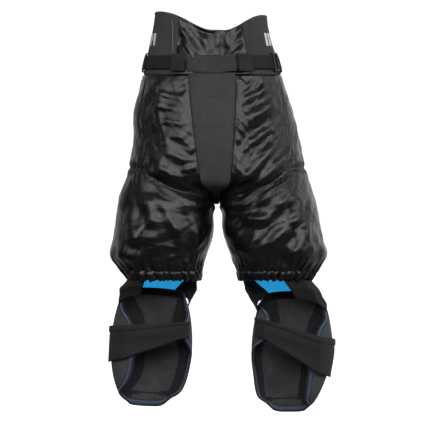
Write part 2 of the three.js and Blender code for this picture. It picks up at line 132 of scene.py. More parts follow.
def soft_noise(points, scale, seed, octaves=3):
    """Smooth pseudo-random values of about -1 to 1 from sums of seeded sine waves."""
    rng = np.random.default_rng(seed)
    total = np.zeros(points.shape[:-1])
    weight = 1.0
    for _ in range(octaves):
        for _ in range(5):
            direction = rng.normal(size=3)
            direction /= np.linalg.norm(direction)
            wave = points @ direction * scale * rng.uniform(0.7, 1.3) * 2 * math.pi
            total += weight * np.sin(wave + rng.uniform(0, 2 * math.pi)) / 3
        scale *= 2.1
        weight *= 0.5
    return total


CRUMPLE_LENGTH = 2.2  # length of a crumple against its width


def crumple(points, size, tip):
    """Angular crumples from 0 to about 0.6: flat facets, longer along a direction tipped towards +X."""
    angle = math.radians(tip)
    across = points[..., 0] * math.cos(angle) - points[..., 2] * math.sin(angle)
    up = points[..., 0] * math.sin(angle) + points[..., 2] * math.cos(angle)
    place = np.stack([across, points[..., 1], up / CRUMPLE_LENGTH], -1) / size
    cell = np.floor(place)
    nearest = np.full(points.shape[:-1], 9.0)
    for shift in np.ndindex(3, 3, 3):
        neighbour = cell + np.array(shift) - 1
        jitter = [np.sin(neighbour @ np.array(mixer)) * 4375.85 % 1
                  for mixer in ((12.99, 78.23, 37.72), (39.35, 11.14, 83.16), (73.16, 52.24, 9.15))]
        gap = np.abs(neighbour + np.stack(jitter, -1) - place).max(-1)
        nearest = np.minimum(nearest, gap)
    return nearest


def drift(h):
    """Where the middle of the pants is, sideways, at a height."""
    return (h - DRIFT_ZERO_H) * DRIFT_SLOPE


def stack(x, y, h):
    """Points in the row's frame from sideways, depth and height values."""
    x, y, h = np.broadcast_arrays(x, y, h)
    return np.stack([x, y, h - BELT_H], axis=-1)


# ---------------------------------------------------------------- the garment's surface

def trunk(turn, h):
    """The oval trunk. Turn 0 is the middle of the back, 0.25 the right side, 0.5 the front."""
    angle = np.asarray(turn) * 2 * math.pi
    x = along(HALF_WIDTH, h) * signed_power(np.sin(angle), OVAL)
    y = -along(HALF_DEPTH, h) * signed_power(np.cos(angle), OVAL)
    return stack(x + drift(h), y, h)


def back_turn(offset, h):
    """The turn at which the trunk is `offset` to the side of its middle."""
    return np.arcsin((offset / along(HALF_WIDTH, h)) ** (1 / OVAL)) / (2 * math.pi)


def centre_half(facing, h):
    """Half the width of the panel between the legs, at the back or the front."""
    return np.where(facing < 0, along(STRETCH_HALF, h), GUSSET_HALF)


def trouser(side, facing, reach, h):
    """A point of a leg's shell. reach runs from the centre panel or inseam to the side seam."""
    start = back_turn(centre_half(facing, h), h)
    quarter = mix(start, 0.25, reach)
    trunk_part = trunk(side * np.where(facing < 0, quarter, 0.5 - quarter), h)
    width = along(HALF_WIDTH, h)
    gap = along(HALF_GAP, h)
    angle = math.pi * reach
    across = (width + gap) / 2 - (width - gap) / 2 * signed_power(np.cos(angle), OVAL)
    deep = along(HALF_DEPTH, h) * np.abs(np.sin(angle)) ** OVAL
    leg_part = stack(drift(h) + side * across, facing * deep, h)
    share = (1 - smooth(CROTCH_H, FORK_H, h))[..., None]
    return mix(trunk_part, leg_part, share)


def leg_path(side, path, h):
    """path runs once round a leg: from the centre back past the side seam to the centre front."""
    facing = np.where(path < 0.5, -1.0, 1.0)
    return trouser(side, facing, 1 - np.abs(1 - 2 * path), h)


def grid(columns, rows):
    u = np.arange(columns + 1) / columns
    return np.meshgrid(u, np.linspace(0, 1, rows + 1), indexing="ij")


def even_rows(dense, count):
    """Resamples each row (axis 0) of a dense grid to points of equal spacing."""
    out = np.empty((count + 1,) + dense.shape[1:])
    for j in range(dense.shape[1]):
        row = dense[:, j]
        length = np.concatenate([[0], np.cumsum(np.linalg.norm(np.diff(row, axis=0), axis=1))])
        target = np.linspace(0, length[-1], count + 1)
        for k in range(3):
            out[:, j, k] = np.interp(target, length, row[:, k])
    return out


# ---------------------------------------------------------------- meshes

def normals_of(points, ring=False):
    """Unit normals of a (u, v) grid, along u cross v."""
    if ring:
        along_u = np.roll(points, -1, axis=0) - np.roll(points, 1, axis=0)
    else:
        along_u = np.gradient(points, axis=0)
    along_v = np.gradient(points, axis=1)
    normal = np.cross(along_u, along_v)
    return normal / np.maximum(np.linalg.norm(normal, axis=-1, keepdims=True), 1e-12)


def raised(points, relief, ring=False):
    """The grid moved by `relief` along its normals."""
    return points + normals_of(points, ring) * relief[..., None]


def away(points):
    """Unit directions straight out from the vertical axis."""
    out = points * (1, 1, 0)
    return out / np.linalg.norm(out, axis=-1, keepdims=True)


def border_distance(points, ring=False):
    """Distance of each grid point to the grid's nearest border, along the rows and columns."""
    step_v = np.linalg.norm(np.diff(points, axis=1), axis=-1)
    from_low = np.concatenate([np.zeros((points.shape[0], 1)), np.cumsum(step_v, axis=1)], axis=1)
    nearest = np.minimum(from_low, from_low[:, -1:] - from_low)
    if ring:
        return nearest
    step_u = np.linalg.norm(np.diff(points, axis=0), axis=-1)
    from_start = np.concatenate([np.zeros((1, points.shape[1])), np.cumsum(step_u, axis=0)], axis=0)
    return np.minimum(nearest, np.minimum(from_start, from_start[-1:] - from_start))


def slab(name, points, out, depth, ring=False, rim=0.001, slots=(), slot_of=None):
    """A closed piece: outer face `out` above the grid, `depth` thick, with rounded borders.

    slots are the materials and slot_of(u, v, inner) gives the slot's number for each face.
    """
    normal = normals_of(points, ring)
    closeness = np.clip(border_distance(points, ring) / rim, 0, 1)
    fullness = mix(0.25, 1.0, np.sqrt(1 - (1 - closeness) ** 2))
    middle = np.asarray(out - depth / 2)
    half = np.asarray(depth / 2) * fullness
    outer = points + normal * (middle + half)[..., None]
    inner = points + normal * (middle - half)[..., None]
    columns, rows = points.shape[:2]
    count = columns * rows
    index = np.arange(count).reshape(columns, rows)
    nxt = np.roll(index, -1, axis=0) if ring else index[1:]
    cur = index if ring else index[:-1]
    a, b, c, d = cur[:, :-1], nxt[:, :-1], nxt[:, 1:], cur[:, 1:]
    faces = [np.stack([a, b, c, d], -1).reshape(-1, 4)]
    faces.append(np.stack([a, d, c, b], -1).reshape(-1, 4) + count)
    for column, flip in ((0, False), (rows - 1, True)):
        p, q = cur[:, column], nxt[:, column]
        strip = np.stack([p, p + count, q + count, q], -1)
        faces.append(strip[:, ::-1] if flip else strip)
    if not ring:
        for row_index, flip in ((0, True), (columns - 1, False)):
            p, q = index[row_index, :-1], index[row_index, 1:]
            strip = np.stack([p, p + count, q + count, q], -1)
            faces.append(strip[:, ::-1] if flip else strip)
    vertices = np.concatenate([outer.reshape(-1, 3), inner.reshape(-1, 3)])
    obj = mesh_piece(name, vertices, np.concatenate(faces).tolist(), slots)
    if slot_of is not None:
        middles = [(np.arange(size) + 0.5) / size for size in a.shape]
        u_mid, v_mid = np.meshgrid(*middles, indexing="ij")
        numbers = np.zeros(len(obj.data.polygons), np.int32)
        for number, inner_face in enumerate((False, True)):
            chosen = np.broadcast_to(slot_of(u_mid, v_mid, inner_face), a.shape)
            numbers[number * a.size:(number + 1) * a.size] = chosen.reshape(-1)
        obj.data.polygons.foreach_set("material_index", numbers)
    write_uv(obj, points, count)
    return obj


def lined(u, v, inner):
    """Slot 0 on a piece's outer face and slot 1 on its inner face."""
    return int(inner)


def write_uv(obj, points, count):
    """A UV map in metres along the grid, so that weave and ribs follow the fabric."""
    step_u = np.linalg.norm(np.diff(points, axis=0), axis=-1).mean(axis=1)
    step_v = np.linalg.norm(np.diff(points, axis=1), axis=-1).mean(axis=0)
    u = np.concatenate([[0], np.cumsum(step_u)])
    v = np.concatenate([[0], np.cumsum(step_v)])
    flat = np.stack(np.meshgrid(u, v, indexing="ij"), -1).reshape(-1, 2)
    corners = np.empty(len(obj.data.loops), np.int32)
    obj.data.loops.foreach_get("vertex_index", corners)
    layer = obj.data.uv_layers.new(name="cloth")
    layer.data.foreach_set("uv", flat[corners % count].astype(np.float32).reshape(-1))


def add(name, data):
    obj = bpy.data.objects.new(name, data)
    bpy.context.scene.collection.objects.link(obj)
    return obj


def mesh_piece(name, vertices, faces, slots):
    mesh = bpy.data.meshes.new(name)
    mesh.from_pydata(np.asarray(vertices, float).tolist(), [], faces)
    mesh.validate()
    mesh.polygons.foreach_set("use_smooth", [True] * len(mesh.polygons))
    for material in slots:
        mesh.materials.append(material)
    mesh.update()
    return add(name, mesh)


def outward(obj):
    """Turns a closed piece's faces outward."""
    work = bmesh.new()
    work.from_mesh(obj.data)
    bmesh.ops.recalc_face_normals(work, faces=work.faces)
    work.to_mesh(obj.data)
    work.free()


def settle(obj, body, slot, *nodes):
    """The piece rides on a body and stands for these CAD nodes. slot is not used."""
    outward(obj)
    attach(obj, body)
    if nodes:
        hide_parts(*nodes)


# ---------------------------------------------------------------- cloth

def sewn_border(shape):
    held = np.zeros(shape)
    held[0] = held[-1] = 1
    held[:, 0] = held[:, -1] = 1
    return held


STRETCH_STIFFNESS = 12.0
BENDING_STIFFNESS = 0.02


def drape(start, cut, held, frames, pressure):
    """Relaxes a sheet of cloth, cut to the shape `cut`, from the grid `start`.

    held is 1 where the cloth is sewn fast and 0 where it is free. Returns the new grid.
    """
    shape = start.shape
    columns, rows = shape[:2]
    index = np.arange(columns * rows).reshape(columns, rows)
    faces = np.stack([index[:-1, :-1], index[1:, :-1], index[1:, 1:], index[:-1, 1:]], -1).reshape(-1, 4)
    obj = mesh_piece("cloth_at_work", start.reshape(-1, 3), faces.tolist(), ())
    obj.shape_key_add(name="start")
    key = obj.shape_key_add(name="cut")
    key.data.foreach_set("co", cut.astype(np.float32).reshape(-1))
    key.value = 0
    group = obj.vertex_groups.new(name="held")
    for number, weight in enumerate(held.reshape(-1)):
        if weight > 0:
            group.add([number], float(weight), "REPLACE")
    cloth = obj.modifiers.new("cloth", "CLOTH")
    settings = cloth.settings
    settings.quality = 6
    settings.mass = 0.12
    settings.tension_stiffness = STRETCH_STIFFNESS
    settings.compression_stiffness = STRETCH_STIFFNESS
    settings.shear_stiffness = STRETCH_STIFFNESS / 3
    settings.bending_stiffness = BENDING_STIFFNESS
    settings.tension_damping = 6
    settings.compression_damping = 6
    settings.shear_damping = 6
    settings.bending_damping = 0.6
    settings.air_damping = 3
    settings.vertex_group_mass = "held"
    settings.rest_shape_key = key
    settings.use_pressure = True
    settings.uniform_pressure_force = pressure
    settings.effector_weights.gravity = 0
    cloth.collision_settings.use_collision = False
    cloth.collision_settings.use_self_collision = False
    cloth.point_cache.frame_start = 1
    cloth.point_cache.frame_end = frames
    scene = bpy.context.scene
    for number in range(1, frames + 1):
        scene.frame_set(number)
    deps = bpy.context.evaluated_depsgraph_get()
    evaluated = obj.evaluated_get(deps)
    result = np.empty(columns * rows * 3, np.float32)
    evaluated.data.vertices.foreach_get("co", result)
    mesh = obj.data
    bpy.data.objects.remove(obj)
    bpy.data.meshes.remove(mesh)
    scene.frame_set(1)
    return result.reshape(shape).astype(float)


def capped(start, moved, outward_cap, inward_cap, slide_cap):
    """Keeps a relaxed grid within a few millimetres of where it started."""
    normal = normals_of(start)
    shift = moved - start
    rise = (shift * normal).sum(-1)
    slide = shift - normal * rise[..., None]
    cap = np.where(rise > 0, outward_cap, inward_cap)
    rise = cap * np.tanh(rise / cap)
    size = np.linalg.norm(slide, axis=-1, keepdims=True)
    slide = slide * slide_cap * np.tanh(size / slide_cap) / np.maximum(size, 1e-9)
    return start + normal * rise[..., None] + slide


# ---------------------------------------------------------------- materials

class Finish:
    """A Principled material built node by node."""

    def __init__(self, name, colour, roughness, **sockets):
        self.material = bpy.data.materials.new(name)
        self.material.use_nodes = True
        self.nodes = self.material.node_tree.nodes
        self.links = self.material.node_tree.links
        self.shader = self.nodes["Principled BSDF"]
        self.colour = colour
        self.roughness = roughness
        self.shader.inputs["Base Color"].default_value = (*colour, 1)
        self.shader.inputs["Roughness"].default_value = roughness
        for socket, value in sockets.items():
            self.shader.inputs[socket.replace("_", " ")].default_value = value
        self.bump_input = None

    def coordinates(self, kind="Object"):
        return self.nodes.new("ShaderNodeTexCoord").outputs[kind]

    def noise(self, scale, detail=3.0, distortion=0.0):
        node = self.nodes.new("ShaderNodeTexNoise")
        node.inputs["Scale"].default_value = scale
        node.inputs["Detail"].default_value = detail
        node.inputs["Distortion"].default_value = distortion
        self.links.new(self.coordinates(), node.inputs["Vector"])
        return node.outputs["Fac"]

    def waves(self, pitch, direction="X", distortion=0.0):
        """Ribs of a given pitch in metres. A wave texture of scale 1 has one wave per pi/10 units."""
        node = self.nodes.new("ShaderNodeTexWave")
        node.bands_direction = direction
        node.inputs["Scale"].default_value = math.pi / 10 / pitch
        node.inputs["Distortion"].default_value = distortion
        self.links.new(self.coordinates("UV"), node.inputs["Vector"])
        return node.outputs["Fac"]

    def cells(self, scale):
        node = self.nodes.new("ShaderNodeTexVoronoi")
        node.inputs["Scale"].default_value = scale
        self.links.new(self.coordinates(), node.inputs["Vector"])
        return node.outputs["Distance"]

    def facets(self, size, tip):
        """Angular crumples, longer along a direction tipped from the vertical towards +X."""
        mapping = self.nodes.new("ShaderNodeMapping")
        mapping.vector_type = "TEXTURE"
        mapping.inputs["Scale"].default_value = (1, 1, CRUMPLE_LENGTH)
        mapping.inputs["Rotation"].default_value = (0, math.radians(tip), 0)
        node = self.nodes.new("ShaderNodeTexVoronoi")
        node.distance = "CHEBYCHEV"
        node.inputs["Scale"].default_value = 1 / size
        self.links.new(self.coordinates(), mapping.inputs["Vector"])
        self.links.new(mapping.outputs["Vector"], node.inputs["Vector"])
        return node.outputs["Distance"]

    def ranged(self, value, low, high, from_low=0.3, from_high=0.7):
        node = self.nodes.new("ShaderNodeMapRange")
        node.inputs["From Min"].default_value = from_low
        node.inputs["From Max"].default_value = from_high
        node.inputs["To Min"].default_value = low
        node.inputs["To Max"].default_value = high
        self.links.new(value, node.inputs["Value"])
        return node.outputs["Result"]

    def vary_colour(self, value, other, from_low=0.35, from_high=0.65):
        """Mixes the base colour towards another where value is high."""
        node = self.nodes.new("ShaderNodeMix")
        node.data_type = "RGBA"
        self.links.new(self.ranged(value, 0, 1, from_low, from_high), node.inputs["Factor"])
        previous = self.shader.inputs["Base Color"]
        if previous.is_linked:
            self.links.new(previous.links[0].from_socket, node.inputs["A"])
        else:
            node.inputs["A"].default_value = (*self.colour, 1)
        node.inputs["B"].default_value = (*other, 1)
        self.links.new(node.outputs["Result"], self.shader.inputs["Base Color"])
        return self

    def vary_roughness(self, value, low, high):
        self.links.new(self.ranged(value, low, high), self.shader.inputs["Roughness"])
        return self

    def bump(self, value, depth):
        """Adds relief of a given depth in metres, on top of earlier relief."""
        node = self.nodes.new("ShaderNodeBump")
        node.inputs["Strength"].default_value = 1
        node.inputs["Distance"].default_value = depth
        self.links.new(value, node.inputs["Height"])
        if self.bump_input is not None:
            self.links.new(self.bump_input, node.inputs["Normal"])
        self.bump_input = node.outputs["Normal"]
        self.links.new(self.bump_input, self.shader.inputs["Normal"])
        return self


def nylon(name, colour, roughness, crinkle, tip, size=0.060):
    """Shiny coated nylon: fine weave, crinkles and a roughness that varies with handling."""
    finish = Finish(name, colour, roughness, Specular_IOR_Level=0.60)
    finish.vary_colour(finish.noise(14, 4), tuple(c * 1.5 for c in colour))
    finish.vary_roughness(finish.noise(30, 3), roughness - 0.03, roughness + 0.06)
    finish.bump(finish.facets(size, tip), 0.08 * size)
    finish.bump(finish.facets(0.4 * size, tip + 25), 0.035 * size)
    finish.bump(finish.noise(45, 2, distortion=1.0), 0.0006 * crinkle)
    finish.bump(finish.noise(210, 2, distortion=0.6), 0.00025 * crinkle)
    finish.bump(finish.waves(0.0009, "X"), 0.00005)
    finish.bump(finish.waves(0.0009, "Y"), 0.00005)
    return finish.material


def knit(name, colour, rib, mottle=1.35, roughness=0.9):
    """Matt knitted or brushed fabric with fine ribs and lint."""
    finish = Finish(name, colour, roughness, Specular_IOR_Level=0.2, Sheen_Weight=0.04, Sheen_Roughness=0.5)
    finish.vary_colour(finish.noise(420, 3), tuple(c * mottle for c in colour))
    finish.vary_colour(finish.noise(9, 3), tuple(c * 0.8 for c in colour), 0.45, 0.75)
    finish.bump(finish.waves(rib, "X", distortion=0.6), 0.0002)
    finish.bump(finish.waves(rib * 0.7, "Y", distortion=0.6), 0.00015)
    finish.bump(finish.noise(700, 2), 0.0002)
    return finish.material


def webbing(name, colour, pitch=0.0016):
    """Woven strap: cross ribs, lengthwise cords and a lighter colour on the crests of the cross ribs."""
    finish = Finish(name, colour, 0.62, Specular_IOR_Level=0.3, Sheen_Weight=0.03)
    ribs = finish.waves(pitch, "X", distortion=0.4)
    finish.vary_colour(ribs, tuple(c * 1.7 for c in colour), 0.5, 1.0)
    finish.bump(ribs, 0.0003)
    finish.bump(finish.waves(pitch * 1.6, "Y"), 0.00015)
    finish.bump(finish.noise(500, 2), 0.0001)
    return finish.material


def moulded(name, colour, roughness):
    """Moulded plastic with a fine spark texture and scuffed patches."""
    finish = Finish(name, colour, roughness)
    finish.vary_colour(finish.noise(25, 4), tuple(c * 1.5 for c in colour), 0.5, 0.8)
    finish.vary_roughness(finish.noise(60, 4), roughness - 0.06, roughness + 0.12)
    finish.bump(finish.noise(900, 2), 0.00012)
    finish.bump(finish.noise(40, 2), 0.0003)
    return finish.material


def tricot(name, colour):
    """Brushed tricot over foam: mottled grey with a fine mesh."""
    finish = Finish(name, colour, 0.92, Specular_IOR_Level=0.2, Sheen_Weight=0.05, Sheen_Roughness=0.45)
    finish.vary_colour(finish.noise(260, 4), tuple(c * 1.35 for c in colour), 0.42, 0.70)
    finish.vary_colour(finish.noise(18, 3), tuple(c * 0.7 for c in colour), 0.5, 0.8)
    finish.bump(finish.cells(900), 0.00025)
    finish.bump(finish.noise(60, 3), 0.0008)
    return finish.material


def satin(name, colour, painted_glow):
    """Thin satin lining with soft streaks. Its emission is painted light: the lining glows so that it looks
    lit inside the shade of the hem.
    """
    finish = Finish(name, colour, 0.42, Sheen_Weight=0.2, Emission_Strength=painted_glow)
    finish.shader.inputs["Emission Color"].default_value = (*colour, 1)
    finish.vary_colour(finish.noise(25, 3), tuple(min(1, c * 1.25 + 0.02) for c in colour))
    finish.bump(finish.noise(70, 3, distortion=0.8), 0.001)
    finish.bump(finish.waves(0.0008, "X"), 0.00006)
    return finish.material


def thread(name, colour):
    finish = Finish(name, colour, 0.7)
    finish.vary_colour(finish.noise(900, 2), tuple(c * 1.3 for c in colour))
    finish.bump(finish.noise(2500, 2), 0.0001)
    return finish.material


# The left leg's nylon is a little darker than the right's: painted shade for the leg that faces away from the
# key lamp.
SHELL = {"left": nylon("left_shell_nylon", (0.0036, 0.0034, 0.0037), 0.21, 0.4, 75),
         "right": nylon("right_shell_nylon", (0.0040, 0.0038, 0.0041), 0.21, 0.4, 38)}
SIDE_SHELL = nylon("side_nylon", (0.0020, 0.0020, 0.0022), 0.21, 0.3, 12)
YOKE = nylon("yoke_nylon", (0.0056, 0.0053, 0.0056), 0.23, 0.25, -35, 0.066)
INSIDE = knit("inner_lining", (0.0100, 0.0100, 0.0106), 0.0012)
STRETCH = knit("stretch_knit", (0.0560, 0.0545, 0.0555), 0.0011)
WAISTBAND = knit("waistband_knit", (0.0600, 0.0580, 0.0595), 0.0009)
TUNNEL = knit("tunnel_cloth", (0.0540, 0.0525, 0.0535), 0.0008)
KEEPER = knit("keeper_cloth", (0.0300, 0.0294, 0.0304), 0.0008)
TAB_CLOTH = knit("tab_cloth", (0.0150, 0.0150, 0.0160), 0.0010)
WEBBING = webbing("belt_weave", (0.0060, 0.0058, 0.0061))
ELASTIC = webbing("elastic_weave", (0.0150, 0.0150, 0.0159), 0.0012)
ACETAL = moulded("acetal", (0.004, 0.004, 0.0045), 0.32)
SHIELD = moulded("shield_plastic", (0.009, 0.0095, 0.0110), 0.30)
LINER = tricot("liner_tricot", (0.0520, 0.0520, 0.0555))
LINER_EDGE = knit("liner_rim", (0.0420, 0.0430, 0.0470), 0.0009, roughness=0.6)
LINER_BINDING = knit("liner_binding", (0.0240, 0.0250, 0.0290), 0.0009, roughness=0.6)
# Painted shade: a darker tricot inside the guards beside the wings' edges and above the bottom, where the
# liner lies in shadow.
LINER_PAINTED_SHADE = tricot("liner_painted_shade", (0.0185, 0.0185, 0.0205))
# Painted shade: a near-black knit inside the top of each guard, where the inside lies in shadow.
LINER_TOP_SHADE = knit("liner_top_painted_shade", (0.0030, 0.0030, 0.0032), 0.0009)
LINER_BACK = knit("liner_back", (0.0760, 0.0775, 0.0830), 0.0010, mottle=1.1, roughness=0.6)
FOAM = tricot("pad_cover", (0.035, 0.035, 0.038))
# Painted light: the blue lining's emission makes it glow brighter than the lamps light it in the hem's shade.
BLUE = satin("blue_lining", (0.030, 0.480, 1.000), 0.52)
PALE_THREAD = thread("pale_thread", (0.30, 0.30, 0.30))
BLUE_THREAD = thread("blue_thread", (0.13, 0.21, 0.40))
DARK_THREAD = thread("dark_thread", (0.030, 0.030, 0.032))
PRINT = Finish("white_print", (0.78, 0.78, 0.78), 0.5)
PRINT.vary_colour(PRINT.noise(60, 3), (0.66, 0.66, 0.67), 0.5, 0.8).bump(PRINT.waves(0.0009, "X"), 0.00006)


# ---------------------------------------------------------------- stitches

def stitches(name, path, lift, material, body, slot, pitch=0.0034, length=0.0024, radius=0.00045):
    """A row of raised stitches along a path of points. lift is the outward direction there."""
    path = np.asarray(path, float)
    lift = np.broadcast_to(np.asarray(lift, float), path.shape)
    run = np.concatenate([[0], np.cumsum(np.linalg.norm(np.diff(path, axis=0), axis=1))])
    places = np.arange(pitch / 2, run[-1] - pitch / 2, pitch)

    def read(values, at):
        return np.stack([np.interp(at, run, values[:, k]) for k in range(3)], -1)

    profile = [(-0.5, 0.0), (-0.36, 0.8), (0.0, 1.0), (0.36, 0.8), (0.5, 0.0)]
    vertices, faces = [], []
    for place in places:
        centre = read(path, place)
        ahead = read(path, place + length * 0.4) - read(path, place - length * 0.4)
        ahead /= np.linalg.norm(ahead)
        up = read(lift, place)
        up -= ahead * up.dot(ahead)
        up /= np.linalg.norm(up)
        across = np.cross(ahead, up)
        base = len(vertices)
        vertices.append(centre + ahead * profile[0][0] * length)
        for offset, size in profile[1:-1]:
            for k in range(6):
                turn = k * math.pi / 3
                ring_point = across * math.cos(turn) + up * math.sin(turn)
                vertices.append(centre + ahead * offset * length + ring_point * radius * size)
        vertices.append(centre + ahead * profile[-1][0] * length)
        for k in range(6):
            nxt = (k + 1) % 6
            faces.append([base, base + 1 + nxt, base + 1 + k])
            for layer in range(2):
                low = base + 1 + layer * 6
                faces.append([low + k, low + nxt, low + 6 + nxt, low + 6 + k])
            faces.append([base + 13 + k, base + 13 + nxt, base + 19])
    settle(mesh_piece(name, vertices, faces, (material,)), body, slot)


# ---------------------------------------------------------------- camera, light and floor

VIEW_PIXELS = 443
METRES_PER_PIXEL = 0.0018
VIEW_MIDDLE = (0.0099, 0, 0.361 - BELT_H)
CAMERA_DISTANCE = 8.0
CAMERA_RISE = 0.12
SENSOR_MM = 36
LAMPS_AIM = (0, 0, -0.25)
FLOOR_GAP = 0.03
FLOOR_REACH = 12.0
WALL_TOP = 12.0
WALL_SIDES = 32


def stage_piece(name, vertices, faces, finish):
    """Plain pale paper round the object. The object is lit by the lamps and the world, not by it."""
    mesh = bpy.data.meshes.new(name)
    mesh.from_pydata(vertices, [], faces)
    mesh.materials.append(finish.material)
    obj = add(name, mesh)
    obj.visible_diffuse = False
    obj.visible_glossy = False
    obj.visible_transmission = False
    obj.visible_shadow = False


def stage_and_camera():
    scene = bpy.context.scene
    camera_data = bpy.data.cameras.new("camera")
    camera = add("camera", camera_data)
    camera_data.sensor_width = SENSOR_MM
    camera_data.lens = SENSOR_MM * CAMERA_DISTANCE / (VIEW_PIXELS * METRES_PER_PIXEL)
    camera_data.clip_end = 50
    middle = Vector(VIEW_MIDDLE)
    camera.location = middle + Vector((0, -CAMERA_DISTANCE, CAMERA_RISE))
    camera.rotation_euler = (middle - camera.location).to_track_quat("-Z", "Y").to_euler()
    scene.camera = camera

    paper = Finish("pale_paper", (0.60, 0.60, 0.60), 0.9, Emission_Strength=1.0)
    paper.shader.inputs["Emission Color"].default_value = (1, 1, 1, 1)
    level = -BELT_H - FLOOR_GAP
    floor = [(-FLOOR_REACH, -FLOOR_REACH, level), (FLOOR_REACH, -FLOOR_REACH, level),
             (FLOOR_REACH, FLOOR_REACH, level), (-FLOOR_REACH, FLOOR_REACH, level)]
    stage_piece("floor", floor, [(0, 1, 2, 3)], paper)
    count = WALL_SIDES
    turns = [2 * math.pi * k / count for k in range(count)]
    wall = [(FLOOR_REACH * math.cos(turn), FLOOR_REACH * math.sin(turn), z)
            for z in (level, WALL_TOP) for turn in turns]
    sides = [(k, (k + 1) % count, count + (k + 1) % count, count + k) for k in range(count)]
    stage_piece("wall", wall, sides + [tuple(range(count, 2 * count))], paper)
    studio_world(scene)
    scene.view_settings.view_transform = "Standard"

    def lamp(name, place, size, power):
        data = bpy.data.lights.new(name, "AREA")
        data.shape = "RECTANGLE"
        data.size, data.size_y = size
        data.energy = power
        obj = add(name, data)
        obj.location = place
        obj.rotation_euler = (Vector(LAMPS_AIM) - Vector(place)).to_track_quat("-Z", "Y").to_euler()
        obj.visible_camera = False

    lamp("front", (0.40, -2.9, 0.80), (2.2, 1.3), 44)
    lamp("front_left", (-1.25, -2.7, 0.70), (0.9, 1.2), 15)
    lamp("key", (2.3, -1.6, 0.8), (0.7, 1.5), 18)
    lamp("fill", (-2.3, -1.7, 0.4), (0.30, 1.3), 5)
    lamp("rim", (0.4, 1.9, 1.3), (1.6, 0.8), 12)


WALL_LIGHT = 0.85
FRONT_LIGHT = 0.20
LEFT_SHARE = 0.25
FLOOR_SHARE = 0.40


def studio_world(scene):
    """White light from behind and from the right, dimmer from the left, from below and from the front."""
    world = bpy.data.worlds.new("studio")
    world.use_nodes = True
    nodes, links = world.node_tree.nodes, world.node_tree.links
    direction = nodes.new("ShaderNodeTexCoord")
    parts = nodes.new("ShaderNodeSeparateXYZ")
    links.new(direction.outputs["Generated"], parts.inputs["Vector"])

    def ramp(axis, start, end, low, high, kind="SMOOTHSTEP"):
        node = nodes.new("ShaderNodeMapRange")
        node.interpolation_type = kind
        for socket, value in zip(("From Min", "From Max", "To Min", "To Max"), (start, end, low, high)):
            node.inputs[socket].default_value = value
        links.new(parts.outputs[axis], node.inputs["Value"])
        return node.outputs["Result"]

    def times(one, other):
        node = nodes.new("ShaderNodeMath")
        node.operation = "MULTIPLY"
        links.new(one, node.inputs[0])
        links.new(other, node.inputs[1])
        return node.outputs["Value"]

    behind = ramp("Y", -0.55, 0.80, FRONT_LIGHT, WALL_LIGHT)
    aside = ramp("X", -0.9, 0.0, LEFT_SHARE, 1, "LINEAR")
    below = ramp("Z", -0.7, 0.15, FLOOR_SHARE, 1)
    links.new(times(times(behind, aside), below), nodes["Background"].inputs["Strength"])
    nodes["Background"].inputs["Color"].default_value = (1, 1, 1, 1)
    scene.world = world


stage_and_camera()


# ---------------------------------------------------------------- nylon legs

SHELL_COLUMNS = 190
SHELL_ROWS = 112
SIDE_START = 0.31  # the side panel's first edge, as a share of the way round the leg
SEAM_DEPTH = 0.0022
FACET_SIZE = 0.050
FACET_SLOPE = 0.30
FACET_TIP = {"left": 75, "right": 38}  # degrees from the vertical
HEM_RUFFLES = 34
HEM_FULLNESS = 0.0030


def ruffle(share, seed, count=HEM_RUFFLES):
    """Irregular gathers round a leg, from -1 to 1."""
    rng = np.random.default_rng(seed)
    total = np.zeros_like(np.asarray(share, float))
    for _ in range(6):
        waves = count * rng.uniform(0.55, 1.35)
        total += np.sin(2 * math.pi * (share * round(waves) + rng.uniform())) * rng.uniform(0.5, 1)
    return np.tanh(total / 1.6)


def cross_seam(share):
    """Height of the seam that crosses the back of a leg, from the crotch up to the side."""
    return mix(0.374, 0.440, smooth(0.0, 0.34, np.minimum(share, 1 - share)))


# Folds of the nylon in millimetres: sideways and height of both ends, then width and height of the ridge
LEG_FOLDS = {
    -1: [(-100, 575, -46, 560, 6, 5), (-104, 552, -46, 540, 6, 4), (-96, 525, -44, 516, 5, 4),
         (-92, 498, -44, 494, 6, 4), (-96, 470, -40, 452, 7, 5), (-120, 480, -70, 395, 9, 6),
         (-90, 440, -38, 395, 8, 5), (-140, 420, -110, 330, 10, 6), (-100, 385, -60, 290, 10, 6),
         (-60, 380, -35, 290, 8, 5), (-160, 380, -150, 290, 10, 4)],
    1: [(108, 590, 46, 552, 7, 6), (112, 560, 46, 515, 8, 6), (118, 520, 52, 478, 8, 5),
        (122, 500, 40, 405, 9, 7), (140, 480, 52, 385, 9, 7), (150, 440, 70, 370, 9, 6),
        (150, 400, 45, 325, 10, 7), (160, 370, 80, 285, 10, 8), (170, 350, 130, 270, 10, 7),
        (100, 350, 40, 350, 8, 6), (76, 330, 50, 275, 9, 5)],
}
YOKE_FOLDS = [(-62, 700, -18, 632, 6, 5), (-52, 672, -26, 622, 5, 4), (-64, 662, -36, 622, 4, 4),
              (-46, 706, -2, 652, 7, 4), (-10, 690, -4, 620, 8, 3), (62, 702, 22, 640, 6, 5),
              (60, 672, 14, 622, 6, 5), (50, 650, 30, 618, 4, 4), (34, 700, 26, 650, 6, 4),
              (12, 688, 10, 620, 6, 3)]


def ridge(x, h, fold):
    """A fold: a rounded ridge along the line between its ends, fading at both."""
    x0, h0, x1, h1, width, height = np.array(fold) / 1000
    dx, dh = x1 - x0, h1 - h0
    length = math.hypot(dx, dh)
    run = ((x - x0) * dx + (h - h0) * dh) / length
    off = ((x - x0) * dh - (h - h0) * dx) / length
    fade = smooth(0, 0.3 * length, run) * smooth(0, 0.3 * length, length - run)
    return height * fade * np.exp(-(off / width) ** 2)


